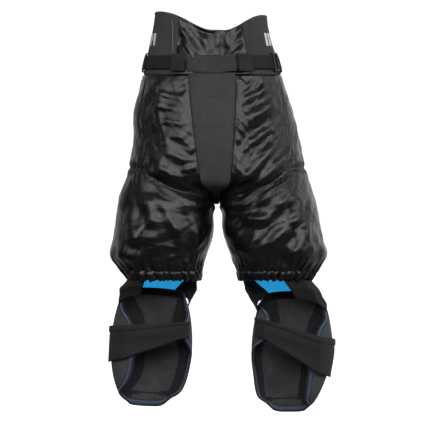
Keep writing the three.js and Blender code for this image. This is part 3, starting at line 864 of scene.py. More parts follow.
def creases(x, h, across, pitch, seed):
    """Long wandering creases with sharp crests, from 0 to 1. across is their spacing direction."""
    ax, ah = across
    run = ax * h - ah * x
    flat = np.stack([x, h, np.zeros_like(x)], -1)
    wander = soft_noise(flat, 9, seed, 2) * 0.55 * pitch
    phase = (x * ax + h * ah + wander) / pitch
    crest = 1 - 2 * np.abs(phase - np.floor(phase) - 0.5)
    long_way = np.stack([(x * ax + h * ah) * 1.6, run * 0.5, np.zeros_like(x)], -1)
    presence = smooth(-0.6, 0.5, soft_noise(long_way, 11, seed + 50, 2))
    return crest ** 1.15 * presence


def leg_folds(side, x, h):
    """Folds across the back of each leg, drawn out towards the crotch and the stretch panel."""
    x = x - drift(h)
    return sum(ridge(x, h, fold) for fold in LEG_FOLDS[side])


def settling(side, x, h):
    """How far each leg hangs from the pattern's symmetry."""
    inner = smooth(0.06, 0.0, np.abs(x - drift(h))) * (1 - smooth(0.360, 0.385, h))
    if side > 0:
        return 0.003 * inner * smooth(0.30, 0.26, h)
    outer = smooth(0.06, 0.13, np.abs(x - drift(h)))
    waisted = smooth(0.385, 0.430, h) * smooth(0.545, 0.490, h)
    return 0.0065 * outer * waisted + 0.0030 * (1 - smooth(0.360, 0.400, h))


def leg_shell(name, side):
    """One leg's nylon: creased and crumpled, cut too large, then relaxed as cloth."""
    heights = np.linspace(HEM_TOP_H + 0.001, SHELL_TOP_H, SHELL_ROWS + 1)
    path = np.linspace(0, 1, 601)
    points = even_rows(leg_path(side, path[:, None], heights[None, :]), SHELL_COLUMNS)
    share, high = np.meshgrid(np.linspace(0, 1, SHELL_COLUMNS + 1), heights, indexing="ij")
    if side < 0:
        points = points[::-1]
        share = share[::-1]
    normal = normals_of(points)
    seam = np.abs(high - cross_seam(share))
    edge = np.minimum(share, 1 - share)
    held = sewn_border(share.shape)
    held[seam < 0.0022] = 0.9
    side_seam = np.minimum(np.abs(share - SIDE_START), np.abs(share - 1 + SIDE_START))
    held = np.maximum(held, np.where(side_seam < 0.004, 0.35, 0))
    free = smooth(0, 0.03, edge) * smooth(0, 0.02, high - heights[0]) * smooth(0, 0.015, heights[-1] - high)
    back = (points[..., 1] < 0) * 1.0
    relief = leg_folds(side, points[..., 0], high) * back
    flat_x = side * (share * 0.50 - 0.02)
    lean = (0.80, -0.60) if side > 0 else (0.93, 0.36)
    relief += 0.0030 * creases(flat_x, high, lean, 0.056, 5 + side)
    relief += FACET_SLOPE * FACET_SIZE * (crumple(points, FACET_SIZE, FACET_TIP[name]) - 0.30)
    relief += 0.0018 * creases(flat_x, high, (lean[0] * 0.8, lean[1] - 0.4), 0.027, 15 + side)
    relief += 0.0004 * creases(flat_x, high, (0.5, 0.86), 0.014, 25 + side)
    beside = np.exp(-(edge / 0.07) ** 2) * (high > CROTCH_H)
    relief += 0.0036 * creases(flat_x, high, (0.2 * side, 0.98), 0.019, 35 + side) * beside
    relief += 0.0008 * soft_noise(points, 14, 5 + side, 2) - 0.0028
    gather = ruffle(share, 21 + side) * (1 - smooth(0, 0.034, high - heights[0]))
    relief *= mix(0.38, 1.0, smooth(0.35, 0.85, np.abs(normal[..., 1])))  # calmer at the sides
    if side < 0:  # and beside the stretch panel on the left
        relief *= 1 - 0.45 * back * smooth(0.430, 0.470, high) * smooth(0.17, 0.11, edge)
    rise = relief * free - 0.003 * np.exp(-(seam / 0.005) ** 2) + HEM_FULLNESS * gather
    rise += 0.0012 * ruffle(share, 31 + side, 60) * np.exp(-((seam - 0.005) / 0.007) ** 2)
    rise -= SEAM_DEPTH * np.exp(-(side_seam / 0.006) ** 2) * free
    start = points + normal * rise[..., None]
    centre_x = drift(high) + side * (along(HALF_WIDTH, high) + along(HALF_GAP, high)) / 2
    widen = 0.03 + 0.13 * (1 - smooth(0, 0.045, high - heights[0])) + 0.07 * np.exp(-(seam / 0.014) ** 2)
    widen += 0.05 * smooth(0.57, SHELL_TOP_H, high)
    cut = start.copy()
    cut[..., 0] = centre_x + (start[..., 0] - centre_x) * (1 + widen)
    cut[..., 1] = start[..., 1] * (1 + widen)
    lengthen = 0.02 + 0.12 * (1 - smooth(0.02, 0.10, edge)) * (high > CROTCH_H)
    step = np.diff(heights, prepend=heights[0])
    cut[..., 2] = heights[0] - BELT_H + np.cumsum(step * (1 + lengthen), axis=1)
    moved = drape(start, cut, held, frames=18, pressure=0.6)
    final = capped(start, moved, 0.008, 0.005, 0.004)
    final[..., 0] += settling(side, final[..., 0], high)
    final[..., 2] += 0.0030 * ruffle(share, 51 + side, 70) * (1 - smooth(0, 0.016, high - heights[0]))

    def panel(u, v, inner):
        number = np.where((u > SIDE_START) & (u < 1 - SIDE_START), 1, 0)
        return np.full_like(number, 2) if inner else number

    shell = slab(f"leg_shell_{name}", final, 0.0006, 0.0016, rim=0.002,
                 slots=(SHELL[name], SIDE_SHELL, INSIDE), slot_of=panel)
    settle(shell, "garment", "nylon", f"back_panel_{name}", f"side_panel_{name}", f"front_panel_{name}")


def hem_band(name, side):
    """The gathered, elasticated hem, folded under the end of the leg."""
    columns, rows = 220, 7
    heights = np.linspace(HEM_H, HEM_TOP_H + 0.004, rows + 1)
    path = np.linspace(0, 1, 601)
    dense = leg_path(side, path[:, None], heights[None, :])
    points = even_rows(dense, columns)[:-1]
    share = np.arange(columns) / columns
    if side < 0:
        points = points[::-1]
        share = share[::-1]
    low = 1 - np.linspace(0, 1, rows + 1)
    gather = ruffle(share, 21 + side)[:, None]
    fine = ruffle(share, 41 + side, 90)[:, None]
    rise = HEM_FULLNESS * gather + 0.0014 * fine * (0.4 + low) + 0.0008 * np.sin(low * math.pi)
    points = raised(points, rise - 0.0020 * smooth(0.30, 0.0, low), ring=True)
    points[..., 0] += settling(side, points[..., 0], points[..., 2] + BELT_H)
    points[..., 2] -= 0.0012 * (fine + gather)[..., 0][:, None] * low
    band = slab(f"hem_{name}", points, 0.0012, 0.0034, ring=True, rim=0.002, slots=(SHELL[name],))
    settle(band, "garment", "nylon", f"hem_band_{name}")


def centre_panel(name, facing, node):
    """The stretch panel at the back or the gusset at the front, turning under at the crotch."""
    u, v = grid(24, 70)
    h = mix(CROTCH_H + 0.002, SHELL_TOP_H + 0.004, v)
    share = u if facing < 0 else 1 - u
    left = trouser(-1, facing, np.zeros_like(h), h)
    right = trouser(1, facing, np.zeros_like(h), h)
    chord = mix(left, right, share[..., None])
    start = back_turn(centre_half(facing, h), h)
    turn = mix(-start, start, share)
    flat = trunk(turn if facing < 0 else 0.5 - turn, h)
    points = mix(flat, chord, (1 - smooth(CROTCH_H, FORK_H, h))[..., None])
    crown = 0.002 * np.sin(math.pi * share) * smooth(0, 0.05, h - CROTCH_H)
    tucks = sum(0.0012 * np.exp(-((h - level) / 0.0022) ** 2) for level in (0.512, 0.563))
    recess = 0.010 * (1 - smooth(CROTCH_H, 0.420, h)) * (facing < 0)
    relief = crown - tucks - recess + 0.0006 * soft_noise(points, 30, 8)
    points = raised(points, relief)
    panel = slab(name, points, 0.0002, 0.0020, rim=0.001, slots=(STRETCH, INSIDE), slot_of=lined)
    settle(panel, "garment", "stretch", node)


for shell_name, shell_side in SIDES.items():
    leg_shell(shell_name, shell_side)
    hem_band(shell_name, shell_side)
centre_panel("stretch_back", -1, "stretch_panel")
centre_panel("gusset_front", 1, "front_gusset")


# ---------------------------------------------------------------- waist

def waist_top(turn):
    """Height of the waist's upper edge, lower in the middle of the back."""
    offset = trunk(turn, TOP_H)[..., 0] - drift(TOP_H)
    dip = WAIST_DIP * (1 - smooth(0.010, 0.085, np.abs(offset - DIP_SHIFT)))
    return TOP_H - dip + 0.006 * smooth(0.055, 0.095, -offset)


def waist_grid(from_turn, to_turn, columns, rows):
    u, v = grid(columns, rows)
    turn = mix(from_turn, to_turn, u)
    h = mix(SHELL_TOP_H + 0.0006, waist_top(turn), v)
    return trunk(turn, h), h, u, v


YOKE_TURN = back_turn(YOKE_HALF, BELT_H)


def yoke():
    """The loose nylon between the waist panels at the back."""
    points, h, u, v = waist_grid(-YOKE_TURN, YOKE_TURN, 110, 76)
    x = points[..., 0] - drift(h)
    relief = sum(ridge(x, h, fold) for fold in YOKE_FOLDS)
    relief = relief + 0.0008 * soft_noise(points, 20, 3) + 0.0120 * (crumple(points, 0.052, -35) - 0.3)
    free = smooth(0, 0.05, u) * smooth(0, 0.05, 1 - u) * smooth(0, 0.12, v) * smooth(0, 0.10, 1 - v)
    start = raised(points, (relief - 0.0025) * free)
    held = sewn_border(u.shape)
    cut = start.copy()
    cut[..., 0] = drift(h) + (start[..., 0] - drift(h)) * 1.07
    cut[..., 2] = start[0, 0, 2] + (start[..., 2] - start[0, 0, 2]) * 1.06
    moved = drape(start, cut, held, frames=14, pressure=0.4)
    final = capped(start, moved, 0.004, 0.004, 0.003)
    piece = slab("yoke", final, 0.0, 0.0042, rim=0.002, slots=(YOKE, INSIDE), slot_of=lined)
    settle(piece, "garment", "nylon", "back_yoke")


def waist_panel(name, side):
    """A padded matt panel from the yoke round to the front, with two rows of stitching at its top."""
    turns = (YOKE_TURN, 0.498) if side > 0 else (-0.498, -YOKE_TURN)
    points, h, u, v = waist_grid(*turns, 120, 40)
    top = waist_top(mix(*turns, u))
    rows = sum(np.exp(-((top - h - offset) / 0.0012) ** 2) for offset in (0.006, 0.0085))
    seam = np.exp(-((h - 0.640) / 0.0015) ** 2)
    relief = 0.0010 * soft_noise(points, 12, 60 + side) - 0.0006 * rows - 0.0005 * seam
    piece = slab(f"waistband_{name}", raised(points, relief), 0.0, 0.0055, rim=0.003,
                 slots=(WAISTBAND, INSIDE), slot_of=lined)
    settle(piece, "garment", "waistband", f"waist_panel_{name}")


def waist_print(name, side):
    """Three plain slanted bars printed on each side of the waistband."""
    for number in range(3):
        middle = (0.176 if side > 0 else 0.184) + 0.024 * number
        u, v = grid(10, 12)
        h = mix(0.658, 0.681, v)
        turn = side * (middle + 0.0075 * (2 * u - 1) + 0.006 * (v - 0.5))
        points = trunk(turn, h)
        if side < 0:
            points = points[::-1]
        piece = slab(f"print_{name}_{number}", points, 0.0011, 0.0007, rim=0.0004, slots=(PRINT.material,))
        settle(piece, "garment", "waistband")


def waist_stitching():
    """Two rows of stitches along the seam between the yoke and each waist panel."""
    rows = (("left", 0.0018, PALE_THREAD), ("left", 0.0060, DARK_THREAD),
            ("right", 0.0018, DARK_THREAD), ("right", 0.0060, DARK_THREAD))
    for number, (name, offset, material) in enumerate(rows):
        h = np.linspace(0.645, 0.706, 60)
        turn = SIDES[name] * back_turn(YOKE_HALF + offset, h)
        path = trunk(turn, h)
        out = away(path)
        stitches(f"waist_stitch_{name}_{number}", path + out * 0.0006, out, material, "garment", "waistband",
                 pitch=0.0042, length=0.0032, radius=0.00055)


yoke()
for waist_name, waist_side in SIDES.items():
    waist_panel(waist_name, waist_side)
    waist_print(waist_name, waist_side)
waist_stitching()


# ---------------------------------------------------------------- belt

def belt_band(from_turn, to_turn, columns):
    u, v = grid(columns, 8)
    turn = mix(from_turn, to_turn, u)
    return trunk(turn, BELT_H + mix(-WEB_HALF, WEB_HALF, v)), turn


def belt_strap(name, side):
    """Half of the webbing. It is pressed thinner where it runs through the slider."""
    turns = (0.0006, 0.455) if side > 0 else (-0.455, -0.0006)
    points, turn = belt_band(*turns, 160)
    pressed = 0.0005 * np.exp(-((turn - SLIDER_TURN) / 0.022) ** 2)
    strap = slab(f"webbing_{name}", points, WEB_OUT - pressed, WEB_THICK - 2 * pressed, rim=0.0008,
                 slots=(WEBBING,))
    settle(strap, "garment", "webbing", f"belt_webbing_{name}")


def sleeve(name, from_turn, to_turn, node, puff, material, half=0.0155, sag=0.0):
    """A sleeve of cloth round the webbing: a flat tube, open at both ends."""
    columns = max(12, int((to_turn - from_turn) * 420))
    around = 44
    turns = np.linspace(from_turn, to_turn, columns + 1)
    drop = sag * np.cos(math.pi * np.clip(turns / 0.08, -0.5, 0.5)) ** 2
    points = np.empty((around, columns + 1, 3))
    for k in range(around):
        angle = 2 * math.pi * k / around
        h = BELT_H + half * signed_power(math.sin(angle), 0.55) - drop
        surface = trunk(turns, h)
        depth = 0.0036 + (0.0028 + puff) * signed_power(math.cos(angle), 0.6)
        wave = 0.0004 * np.sin(turns * 900 + k * 0.4)
        points[k] = surface + away(surface) * (depth + wave)[:, None]
    tube = slab(name, points[::-1], 0.0, 0.0011, ring=True, rim=0.001, slots=(material,))
    settle(tube, "garment", "waistband", node)


TUNNEL_TURN = back_turn(0.041, BELT_H)
sleeve("tunnel", -TUNNEL_TURN, TUNNEL_TURN, "belt_tunnel", 0.0002, TUNNEL, sag=0.004)
for belt_name, belt_side in SIDES.items():
    belt_strap(belt_name, belt_side)
    for piece_name, node_name, ends, length, swell, tall in (
            ("keeper", "back_keeper", (0.048, 0.083), 0.024, 0.0008, 0.0158),
            ("loop", "side_loop", (0.196, 0.214), 0.013, 0.0006, 0.0175)):
        low_turn, high_turn = ends if belt_side > 0 else (-ends[1], -ends[0])
        sleeve(f"{piece_name}_{belt_name}", low_turn, high_turn, f"{node_name}_{belt_name}", swell,
               KEEPER, tall)


# ---------------------------------------------------------------- hardware from the CAD

def rounded_copy(node, name, body, material, width):
    """The CAD node's own shape with rounded edges."""
    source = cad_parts[node]
    mesh = source.data.copy()
    obj = add(name, mesh)
    obj.matrix_world = source.matrix_world.copy()
    mesh.materials.clear()
    mesh.materials.append(material)
    work = bmesh.new()
    work.from_mesh(mesh)
    bmesh.ops.remove_doubles(work, verts=work.verts, dist=1e-5)
    bmesh.ops.dissolve_limit(work, angle_limit=math.radians(2), verts=work.verts, edges=work.edges)
    work.to_mesh(mesh)
    work.free()
    bevel = obj.modifiers.new("round", "BEVEL")
    bevel.width = width
    bevel.segments = 2
    bevel.angle_limit = math.radians(35)
    bevel.limit_method = "ANGLE"
    mesh.polygons.foreach_set("use_smooth", [False] * len(mesh.polygons))
    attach(obj, body)
    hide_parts(node)


rounded_copy("belt_slider", "slider", "belt_slider", ACETAL, 0.0005)
rounded_copy("buckle_socket", "socket", "garment", ACETAL, 0.0009)
rounded_copy("buckle_plug", "plug", "buckle_plug", ACETAL, 0.0007)


def front_pieces():
    tail, _ = belt_band(0.5 - 0.142, 0.5 - 0.076, 30)
    strap = slab("tail", tail, 0.0075, WEB_THICK, rim=0.0008, slots=(WEBBING,))
    settle(strap, "buckle_plug", "webbing", "belt_tail")

    def fly(half, low, high, columns, rows):
        u, v = grid(columns, rows)
        h = mix(low, high, v)
        turn = back_turn(half, h)
        return trunk(mix(0.5 - turn, 0.5 + turn, u), h)

    points = fly(0.011, 0.476, 0.594, 10, 60)
    tape = slab("fly_tape", points, 0.0033, 0.0014, rim=0.0006, slots=(ELASTIC,))
    settle(tape, "garment", "webbing", "fly_strip")

    points = fly(0.030, 0.470, 0.599, 40, 76)
    border = border_distance(points)
    relief = -0.0007 * np.exp(-((border - 0.005) / 0.0012) ** 2) + 0.0006 * soft_noise(points, 40, 77)
    flap = slab("fly_cover", raised(points, relief), 0.0072, 0.0022, rim=0.001,
                slots=(SHELL["left"], INSIDE), slot_of=lined)
    settle(flap, "fly_flap", "nylon", "fly_flap")


front_pieces()


# ---------------------------------------------------------------- pads and caps inside

PAD_THICK = 0.011
PAD_INSET = 0.0115
SHIELD_THICK = 0.0025
SHIELD_INSET = 0.006


def quilt(points, spacing, depth):
    """Sewn channels in a diamond pattern."""
    across = np.cumsum(np.concatenate([np.zeros((1, points.shape[1])),
                                       np.linalg.norm(np.diff(points, axis=0), axis=-1)]), axis=0)
    up = points[..., 2]
    total = 0
    for sign in (-1, 1):
        phase = (across + sign * up) / spacing
        off = np.abs(phase - np.round(phase)) * spacing
        total = total + np.exp(-(off / 0.0016) ** 2)
    return -depth * np.clip(total, 0, 1)


def pad(name, points, inset, node):
    """Covered foam with sewn channels, thinner at its edges."""
    u, v = grid(points.shape[0] - 1, points.shape[1] - 1)
    crown = np.sqrt((1 - np.abs(2 * u - 1) ** 4) * (1 - np.abs(2 * v - 1) ** 4))
    depth = PAD_THICK * (0.45 + 0.55 * crown) + quilt(points, 0.022, 0.0016) * crown
    piece = slab(name, points, -inset - (PAD_THICK - depth) / 2, depth, rim=0.003, slots=(FOAM,))
    settle(piece, "garment", "foam", node)


def cap(name, points, inset, thickness, body, node, ribs=0.0, turned_in=0.0):
    """A moulded shield with a raised rim and long ribs. Its edge may be turned in towards the foam."""
    u, v = grid(points.shape[0] - 1, points.shape[1] - 1)
    border = border_distance(points)
    relief = 0.0012 * np.exp(-((border - 0.004) / 0.002) ** 2)
    relief = relief + ribs * np.clip(np.cos(6 * math.pi * u) - 0.55, 0, 1) * smooth(0.010, 0.018, border)
    edge = turned_in * smooth(0.007, 0.002, border)
    piece = slab(name, points, -inset + relief, thickness + relief + edge, rim=0.0016, slots=(SHIELD,))
    settle(piece, body, "shield", node)


def side_grid(side, reach, heights, columns, rows):
    u, v = grid(columns, rows)
    path = u if side > 0 else 1 - u
    facing = np.where(path < 0.5, -1.0, 1.0)
    return trouser(side, facing, mix(reach, 1, 1 - np.abs(1 - 2 * path)), mix(*heights, v))


def front_grid(side, reaches, heights, columns, rows):
    u, v = grid(columns, rows)
    reach = mix(*reaches, u if side < 0 else 1 - u)
    return trouser(side, 1.0, reach, mix(*heights, v))


def protection(name, side):
    """Hip and thigh shields over their foam, the kidney pad and the blue knee lining of one side."""
    hip = side_grid(side, 0.62, (0.446, 0.592), 48, 44)
    hip[..., 0] += settling(side, hip[..., 0], hip[..., 2] + BELT_H)
    thigh = front_grid(side, (0.22, 0.80), (0.290, 0.366), 40, 26)
    for place, points, cap_node in (("hip", hip, "hip_cap"), ("thigh", thigh, "thigh_guard")):
        cap(f"{place}_shield_{name}", points, SHIELD_INSET, SHIELD_THICK, "garment", f"{cap_node}_{name}",
            0.001)
        pad(f"{place}_foam_{name}", points, PAD_INSET, f"{place}_pad_{name}")
    u, v = grid(26, 32)
    turns = (0.012, back_turn(YOKE_HALF - 0.008, BELT_H))
    turns = turns if side > 0 else (-turns[1], -turns[0])
    kidney = trunk(mix(*turns, u), BELT_H + mix(-0.040, 0.040, v))
    pad(f"kidney_foam_{name}", kidney, 0.009, f"kidney_pad_{name}")
    lining = front_grid(side, (0.26, 0.88), (0.213 if side < 0 else 0.209, 0.262), 70, 20)
    u, v = grid(70, 20)
    relief = 0.0012 * np.sin(u * 50 + 2 * np.sin(v * 4 + side)) * (1 - v)
    relief = relief + 0.0008 * soft_noise(lining, 40, 90 + side)
    piece = slab(f"blue_facing_{name}", raised(lining, relief), -0.0075, 0.0018, rim=0.001, slots=(BLUE,))
    settle(piece, "garment", "lining", f"knee_lining_{name}")


for pad_name, pad_side in SIDES.items():
    protection(pad_name, pad_side)
tail_u, tail_v = grid(22, 44)
pad("tailbone_foam", trunk(mix(-0.034, 0.034, tail_u), mix(0.452, 0.580, tail_v)), 0.006, "tailbone_pad")


# ---------------------------------------------------------------- shin guards

WING_WRAPS = {
    ("left", "outer"): [(0, 1.70), (0.105, 2.19), (0.20, 2.58), (0.30, 2.70), (0.546, 2.74), (0.80, 2.40),
                        (0.93, 1.72), (1, 1.57)],
    ("left", "inner"): [(0, 1.60), (0.115, 1.85), (0.22, 2.24), (0.35, 2.22), (0.49, 1.70), (0.7, 1.62),
                        (1, 1.57)],
    ("right", "outer"): [(0, 1.62), (0.09, 1.91), (0.20, 2.40), (0.315, 2.59), (0.595, 2.71), (0.80, 2.62),
                         (0.91, 2.45), (1, 1.60)],
    ("right", "inner"): [(0, 1.80), (0.04, 2.20), (0.155, 2.54), (0.28, 2.55), (0.397, 1.90), (0.6, 1.64),
                         (1, 1.57)],
}
FOLD_FLAT = 0.74


def slimmed(name, down, outer):
    """The right guard is narrower on its outer side below the strap."""
    return 1 - np.where(outer, 0.11, 0) * smooth(0.42, 0.74, down) * (name == "right")


def guard_local(name, wrap, down, lift=0.0):
    """A point of a guard's outer face. wrap is the angle from its front, down runs from top to bottom."""
    crest = GUARD_CREST[name] * np.maximum(0, np.cos(wrap)) ** 0.3 * (1 - smooth(0, 0.5, down))
    outer = np.sign(np.sin(wrap)) == SIDES[name]
    sideways = np.where(np.abs(wrap) > math.pi / 2, 1, np.abs(np.sin(wrap)))
    corner = np.where(outer, 0.003, 0.013) * sideways ** 4 * smooth(0.78, 1, down)
    x = (along(GUARD_HALF_WIDTH, down) * slimmed(name, down, outer) + lift) * np.sin(wrap)
    x = x + GUARD_SWAY[name] * smooth(0.6, 1, down)
    deep = np.cos(wrap)
    deep = np.where(deep < 0, -FOLD_FLAT * np.tanh(-deep / FOLD_FLAT), deep)
    y = GUARD_MID_Y + (along(GUARD_HALF_DEPTH, down) + lift) * deep
    z = mix(GUARD_TOP[name], GUARD_BOTTOM, down) + crest + corner
    return np.stack(np.broadcast_arrays(x, y, z), -1)


def guard_place(name, points):
    """From a guard's own coordinates about its knee axis to the row's frame."""
    angle = LEAN[name]
    x = points[..., 0] * math.cos(angle) + points[..., 2] * math.sin(angle)
    z = -points[..., 0] * math.sin(angle) + points[..., 2] * math.cos(angle)
    return np.stack([x, points[..., 1], z], -1) + np.array(KNEE[name])


def wing_ends(name, side, down):
    """The wraps at which the wings end, on the guard's right and left."""
    outer = along(WING_WRAPS[(name, "outer")], down)
    inner = along(WING_WRAPS[(name, "inner")], down)
    right, left = (outer, inner) if side > 0 else (inner, outer)
    return right, -left


def guard_grid(name, side, columns, rows):
    u, v = grid(columns, rows)
    down = 1 - v
    first, last = wing_ends(name, side, down)
    wrap = mix(first, last, u)
    return guard_place(name, guard_local(name, wrap, down)), wrap, down


FLANGE = 0.015  # flat edge outside the padding
TOP_SHADE_START = 0.935  # painted shade: near-black inside above this share of the guard's height, where it lies in shadow
WING_SHADE_WIDTH = {"left": 0.016, "right": 0.010}  # painted shade: darker fabric beside the wings' edges, where the wings shade the liner
BINDING = 0.0105  # dark edging that carries the blue stitches
SHADE_BAND_DOWN = (0.900, 0.925)  # painted shade: a band of the same darker fabric above the bottom edge


def shin_guard(name, side):
    """Padded liner with wings, its stitches, and the two moulded shields in front."""
    body = f"shin_guard_{name}"
    points, wrap, down = guard_grid(name, side, 150, 110)
    border = border_distance(points)
    padded_middle = smooth(FLANGE - 0.001, FLANGE + 0.012, border)
    groove = np.exp(-((border - FLANGE + 0.001) / 0.0022) ** 2)
    bend = np.exp(-((np.abs(wrap) - 1.42) / 0.10) ** 2)
    depth = 0.0042 + 0.0058 * padded_middle * smooth(1.75, 1.25, np.abs(wrap)) - 0.0016 * groove
    depth = depth + 0.0012 * padded_middle - 0.0012 * bend * padded_middle
    depth = depth + 0.0007 * soft_noise(points, 26, 120 + side) * padded_middle
    edge_bead = 0.0010 * np.exp(-(border / 0.0022) ** 2)
    # Painted shade: the liner's inside gets a darker fabric within a set distance of the wings' edges and in
    # a band above the bottom.
    half = along(GUARD_HALF_WIDTH, down)
    right_edge, left_edge = (half * np.sin(end) for end in wing_ends(name, side, down))
    room = np.minimum(right_edge - half * np.sin(wrap), half * np.sin(wrap) - left_edge)
    room = np.where(np.abs(wrap) < 1.5, room, 1)
    room = np.where((down > SHADE_BAND_DOWN[0]) & (down < SHADE_BAND_DOWN[1]), 0, room)
    inside = np.where(cell_values(border) < FLANGE, 1, np.where(cell_values(room) < WING_SHADE_WIDTH[name], 4, 0))
    outside = np.where(cell_values(border) < BINDING, 5, 2)
    # Painted shade: the liner's inside is near-black above a set share of its height, where it lies in
    # shadow.
    liner = slab(f"guard_liner_{name}", points, edge_bead / 2, depth + edge_bead, rim=0.0022,
                 slots=(LINER, LINER_EDGE, LINER_BACK, LINER_TOP_SHADE, LINER_PAINTED_SHADE, LINER_BINDING),
                 slot_of=lambda u, v, inner: np.where(v > TOP_SHADE_START, 3, inside) if inner else outside)
    settle(liner, body, "liner", f"shin_liner_{name}", f"outer_wing_{name}", f"inner_wing_{name}")

    normal = normals_of(points)
    guard_stitches(f"inner_{name}", body, points - normal * depth[..., None], -1)
    guard_stitches(f"outer_{name}", body, points + normal * (edge_bead / 2)[..., None], 1)
    u, v = grid(56, 30)
    knee = guard_place(name, guard_local(name, mix(0.95, -0.95, u), mix(0.06, 0.31, 1 - v)))
    cap(f"knee_shield_{name}", knee, -0.008, 0.004, body, f"knee_cap_{name}", 0.0015, 0.0037)
    u, v = grid(60, 70)
    shin_down = mix(0.34, 0.92, 1 - v)
    shin_wrap = mix(1.05, -1.05, u) * (1 - 0.28 * smooth(0.66, 0.92, shin_down))
    shin = guard_place(name, guard_local(name, shin_wrap, shin_down))
    cap(f"shin_shield_{name}", shin, -0.0065, 0.003, body, f"shin_cap_{name}", 0.0018, 0.0032)


def cell_values(values):
    return (values[:-1, :-1] + values[1:, :-1] + values[1:, 1:] + values[:-1, 1:]) / 4


def guard_stitches(name, body, face, outward_sign):
    """Double rows of blue stitches just inside the edges of the wings and the bottom."""
    normal = normals_of(face) * outward_sign
    columns, rows = face.shape[0] - 1, face.shape[1] - 1
    across = np.linalg.norm(np.diff(face, axis=0), axis=-1).sum(axis=0)
    up = np.linalg.norm(np.diff(face, axis=1), axis=-1).sum(axis=1)

    def sample(values, u, v):
        x = np.clip(u, 0, 1) * columns
        y = np.clip(v, 0, 1) * rows
        i = np.minimum(x.astype(int), columns - 1)
        j = np.minimum(y.astype(int), rows - 1)
        a, b = (x - i)[:, None], (y - j)[:, None]
        return ((values[i, j] * (1 - a) + values[i + 1, j] * a) * (1 - b)
                + (values[i, j + 1] * (1 - a) + values[i + 1, j + 1] * a) * b)

    for number, inset in enumerate((0.0050, 0.0078)):
        v = np.linspace(1 - inset / 0.2, inset / 0.2, 160)
        width = np.interp(v, np.linspace(0, 1, rows + 1), across)
        bottom_u = np.linspace(inset / width[-1], 1 - inset / width[-1], 60)
        height = np.interp(bottom_u, np.linspace(0, 1, columns + 1), up)
        u_run = np.concatenate([inset / width, bottom_u, (1 - inset / width)[::-1]])
        v_run = np.concatenate([v, inset / height, v[::-1]])
        path = sample(face, u_run, v_run)
        lift = sample(normal, u_run, v_run)
        stitches(f"guard_stitch_{name}_{number}", path, lift, BLUE_THREAD, body, "liner",
                 pitch=0.0038, length=0.0030, radius=0.0008)


# Four corners along a strap, from its sewn end: the angle round the guard and how far down it is
STRAP_WRAPS = (1.62, 2.42, -2.42, -2.05)
STRAP_HIGH = {"left": (0.29, 0.27, 0.22, 0.21), "right": (0.34, 0.31, 0.16, 0.14)}
STRAP_LOW = {"left": (0.62, 0.575, 0.37, 0.36), "right": (0.69, 0.645, 0.33, 0.31)}
STRAP_OFFSET = 0.0036
STRAP_HALF_WIDTH = 0.073
STRAP_HALF_DEPTH = 0.046


def calf_strap(name, side):
    """An elastic strap from the outer wing across the open back to the other wing."""
    def corner(wrap, down):
        x = side * (STRAP_HALF_WIDTH * slimmed(name, down, wrap > 0) + STRAP_OFFSET) * np.sin(wrap)
        y = GUARD_MID_Y + (STRAP_HALF_DEPTH + STRAP_OFFSET) * np.cos(wrap)
        return np.stack(np.broadcast_arrays(x, y, mix(STRAP_TOP, GUARD_BOTTOM, down)), -1)

    columns, rows = 120, 26
    path = np.linspace(0, 3, columns + 1)
    leg = np.minimum(2, path.astype(int))
    share = path - leg
    high = np.interp(path, range(4), STRAP_HIGH[name])
    low = np.interp(path, range(4), STRAP_LOW[name])
    wraps = np.array(STRAP_WRAPS)
    v = np.linspace(0, 1, rows + 1)
    down = low[:, None] + (high - low)[:, None] * v
    wrap = mix(wraps[leg], wraps[np.minimum(leg + 1, 3)], share)[:, None]
    hugging = corner(wrap, down)
    chord = mix(corner(wraps[1], down), corner(wraps[2], down), share[:, None, None])
    points = np.where((leg == 1)[:, None, None], chord, hugging)
    points = guard_place(name, points)
    if side > 0:
        points = points[::-1]
    points = even_rows(points, columns)
    u, v = grid(columns, rows)
    reach = 1 - u if side > 0 else u
    fold = 0.0016 * smooth(0.80, 0.86, v) - 0.0010 * np.exp(-((v - 0.80) / 0.02) ** 2)
    waves = 0.0010 * np.sin(v * 9 + reach * 4) * np.sin(math.pi * reach)
    strap = slab(f"strap_{name}", raised(points, waves + fold), 0.0, 0.0022, rim=0.001, slots=(ELASTIC,))
    settle(strap, f"calf_strap_{name}", "webbing", f"calf_strap_{name}")


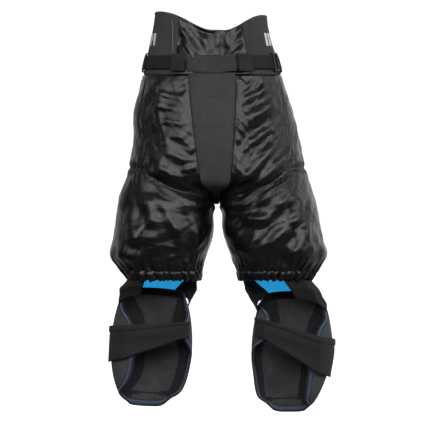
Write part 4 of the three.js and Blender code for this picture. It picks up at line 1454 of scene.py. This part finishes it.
TABS = {
    ("left", "outer"): {"wraps": (0.42, 2.75), "reaches": (0.66, -0.64), "bulge": 0.012, "pleats": 1.0,
                        "rise": 0.016, "flat": (0.145, 0.045)},
    ("left", "inner"): {"wraps": (0.50, 1.8), "reaches": (0.26, -0.06), "bulge": 0.003, "pleats": 1.5,
                        "rise": 0.0, "flat": (0.080, 0.045)},
    ("right", "outer"): {"wraps": (0.02, 3.05), "reaches": (0.60, -0.54), "bulge": 0.006, "pleats": 4.0,
                         "rise": 0.024, "flat": (0.165, 0.045)},
    ("right", "inner"): {"wraps": (0.55, 1.8), "reaches": (0.25, -0.06), "bulge": 0.002, "pleats": 1.5,
                         "rise": 0.0, "flat": (0.080, 0.045)},
}


def connector(name, side, kind):
    """A cloth tab that hangs a guard from the hem on one side of the knee.

    Its reaches run from a place on the front of the hem, positive, round to the back, negative.
    """
    tab = TABS[(name, kind)]
    sign = side if kind == "outer" else -side
    u, v = grid(60, 34)
    front, back = tab["reaches"]
    turning = 1.0 if kind == "outer" else 0.0
    whole = abs(turning - front) + abs(turning + back)
    split = abs(turning - front) / whole
    facing = np.where(u < split, 1.0, -1.0)
    reach = np.where(u < split, mix(front, turning, u / split),
                     mix(turning, -back, (u - split) / (1 - split)))
    top = trouser(side, facing, reach, np.full_like(u, HEM_H + 0.005))
    top[..., 0] += settling(side, top[..., 0], HEM_H)
    middle = np.array([drift(HEM_H) + side * 0.100, 0, 0])
    out = away(top - middle)
    top = top - out * 0.004
    wrap = sign * mix(*tab["wraps"], u)
    bottom = guard_place(name, guard_local(name, wrap, np.full_like(u, 0.05), lift=0.0035))
    bottom[..., 2] += tab["rise"] * smooth(0.45, 1.0, u)
    points = mix(bottom, top, v[..., None])
    waves = np.sin(u * 2 * math.pi * tab["pleats"] + side) * 0.0022
    waves = waves + soft_noise(points, 30, 7 + side) * 0.0012
    flare = tab["bulge"] * np.exp(-(np.abs(v - 0.55) / 0.28) ** 1.3) * smooth(0.25, 0.7, u)
    points = points + out * (flare + waves * np.sin(math.pi * v))[..., None]
    if sign > 0:
        points = points[::-1]
    piece = slab(f"tab_{kind}_{name}", points, 0.0, 0.0018, rim=0.001, slots=(TAB_CLOTH,))
    outward(piece)
    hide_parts(f"{kind}_connector_{name}")
    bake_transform(piece)


for guard_name, guard_side in SIDES.items():
    shin_guard(guard_name, guard_side)
    calf_strap(guard_name, guard_side)
    connector(guard_name, guard_side, "outer")
    connector(guard_name, guard_side, "inner")
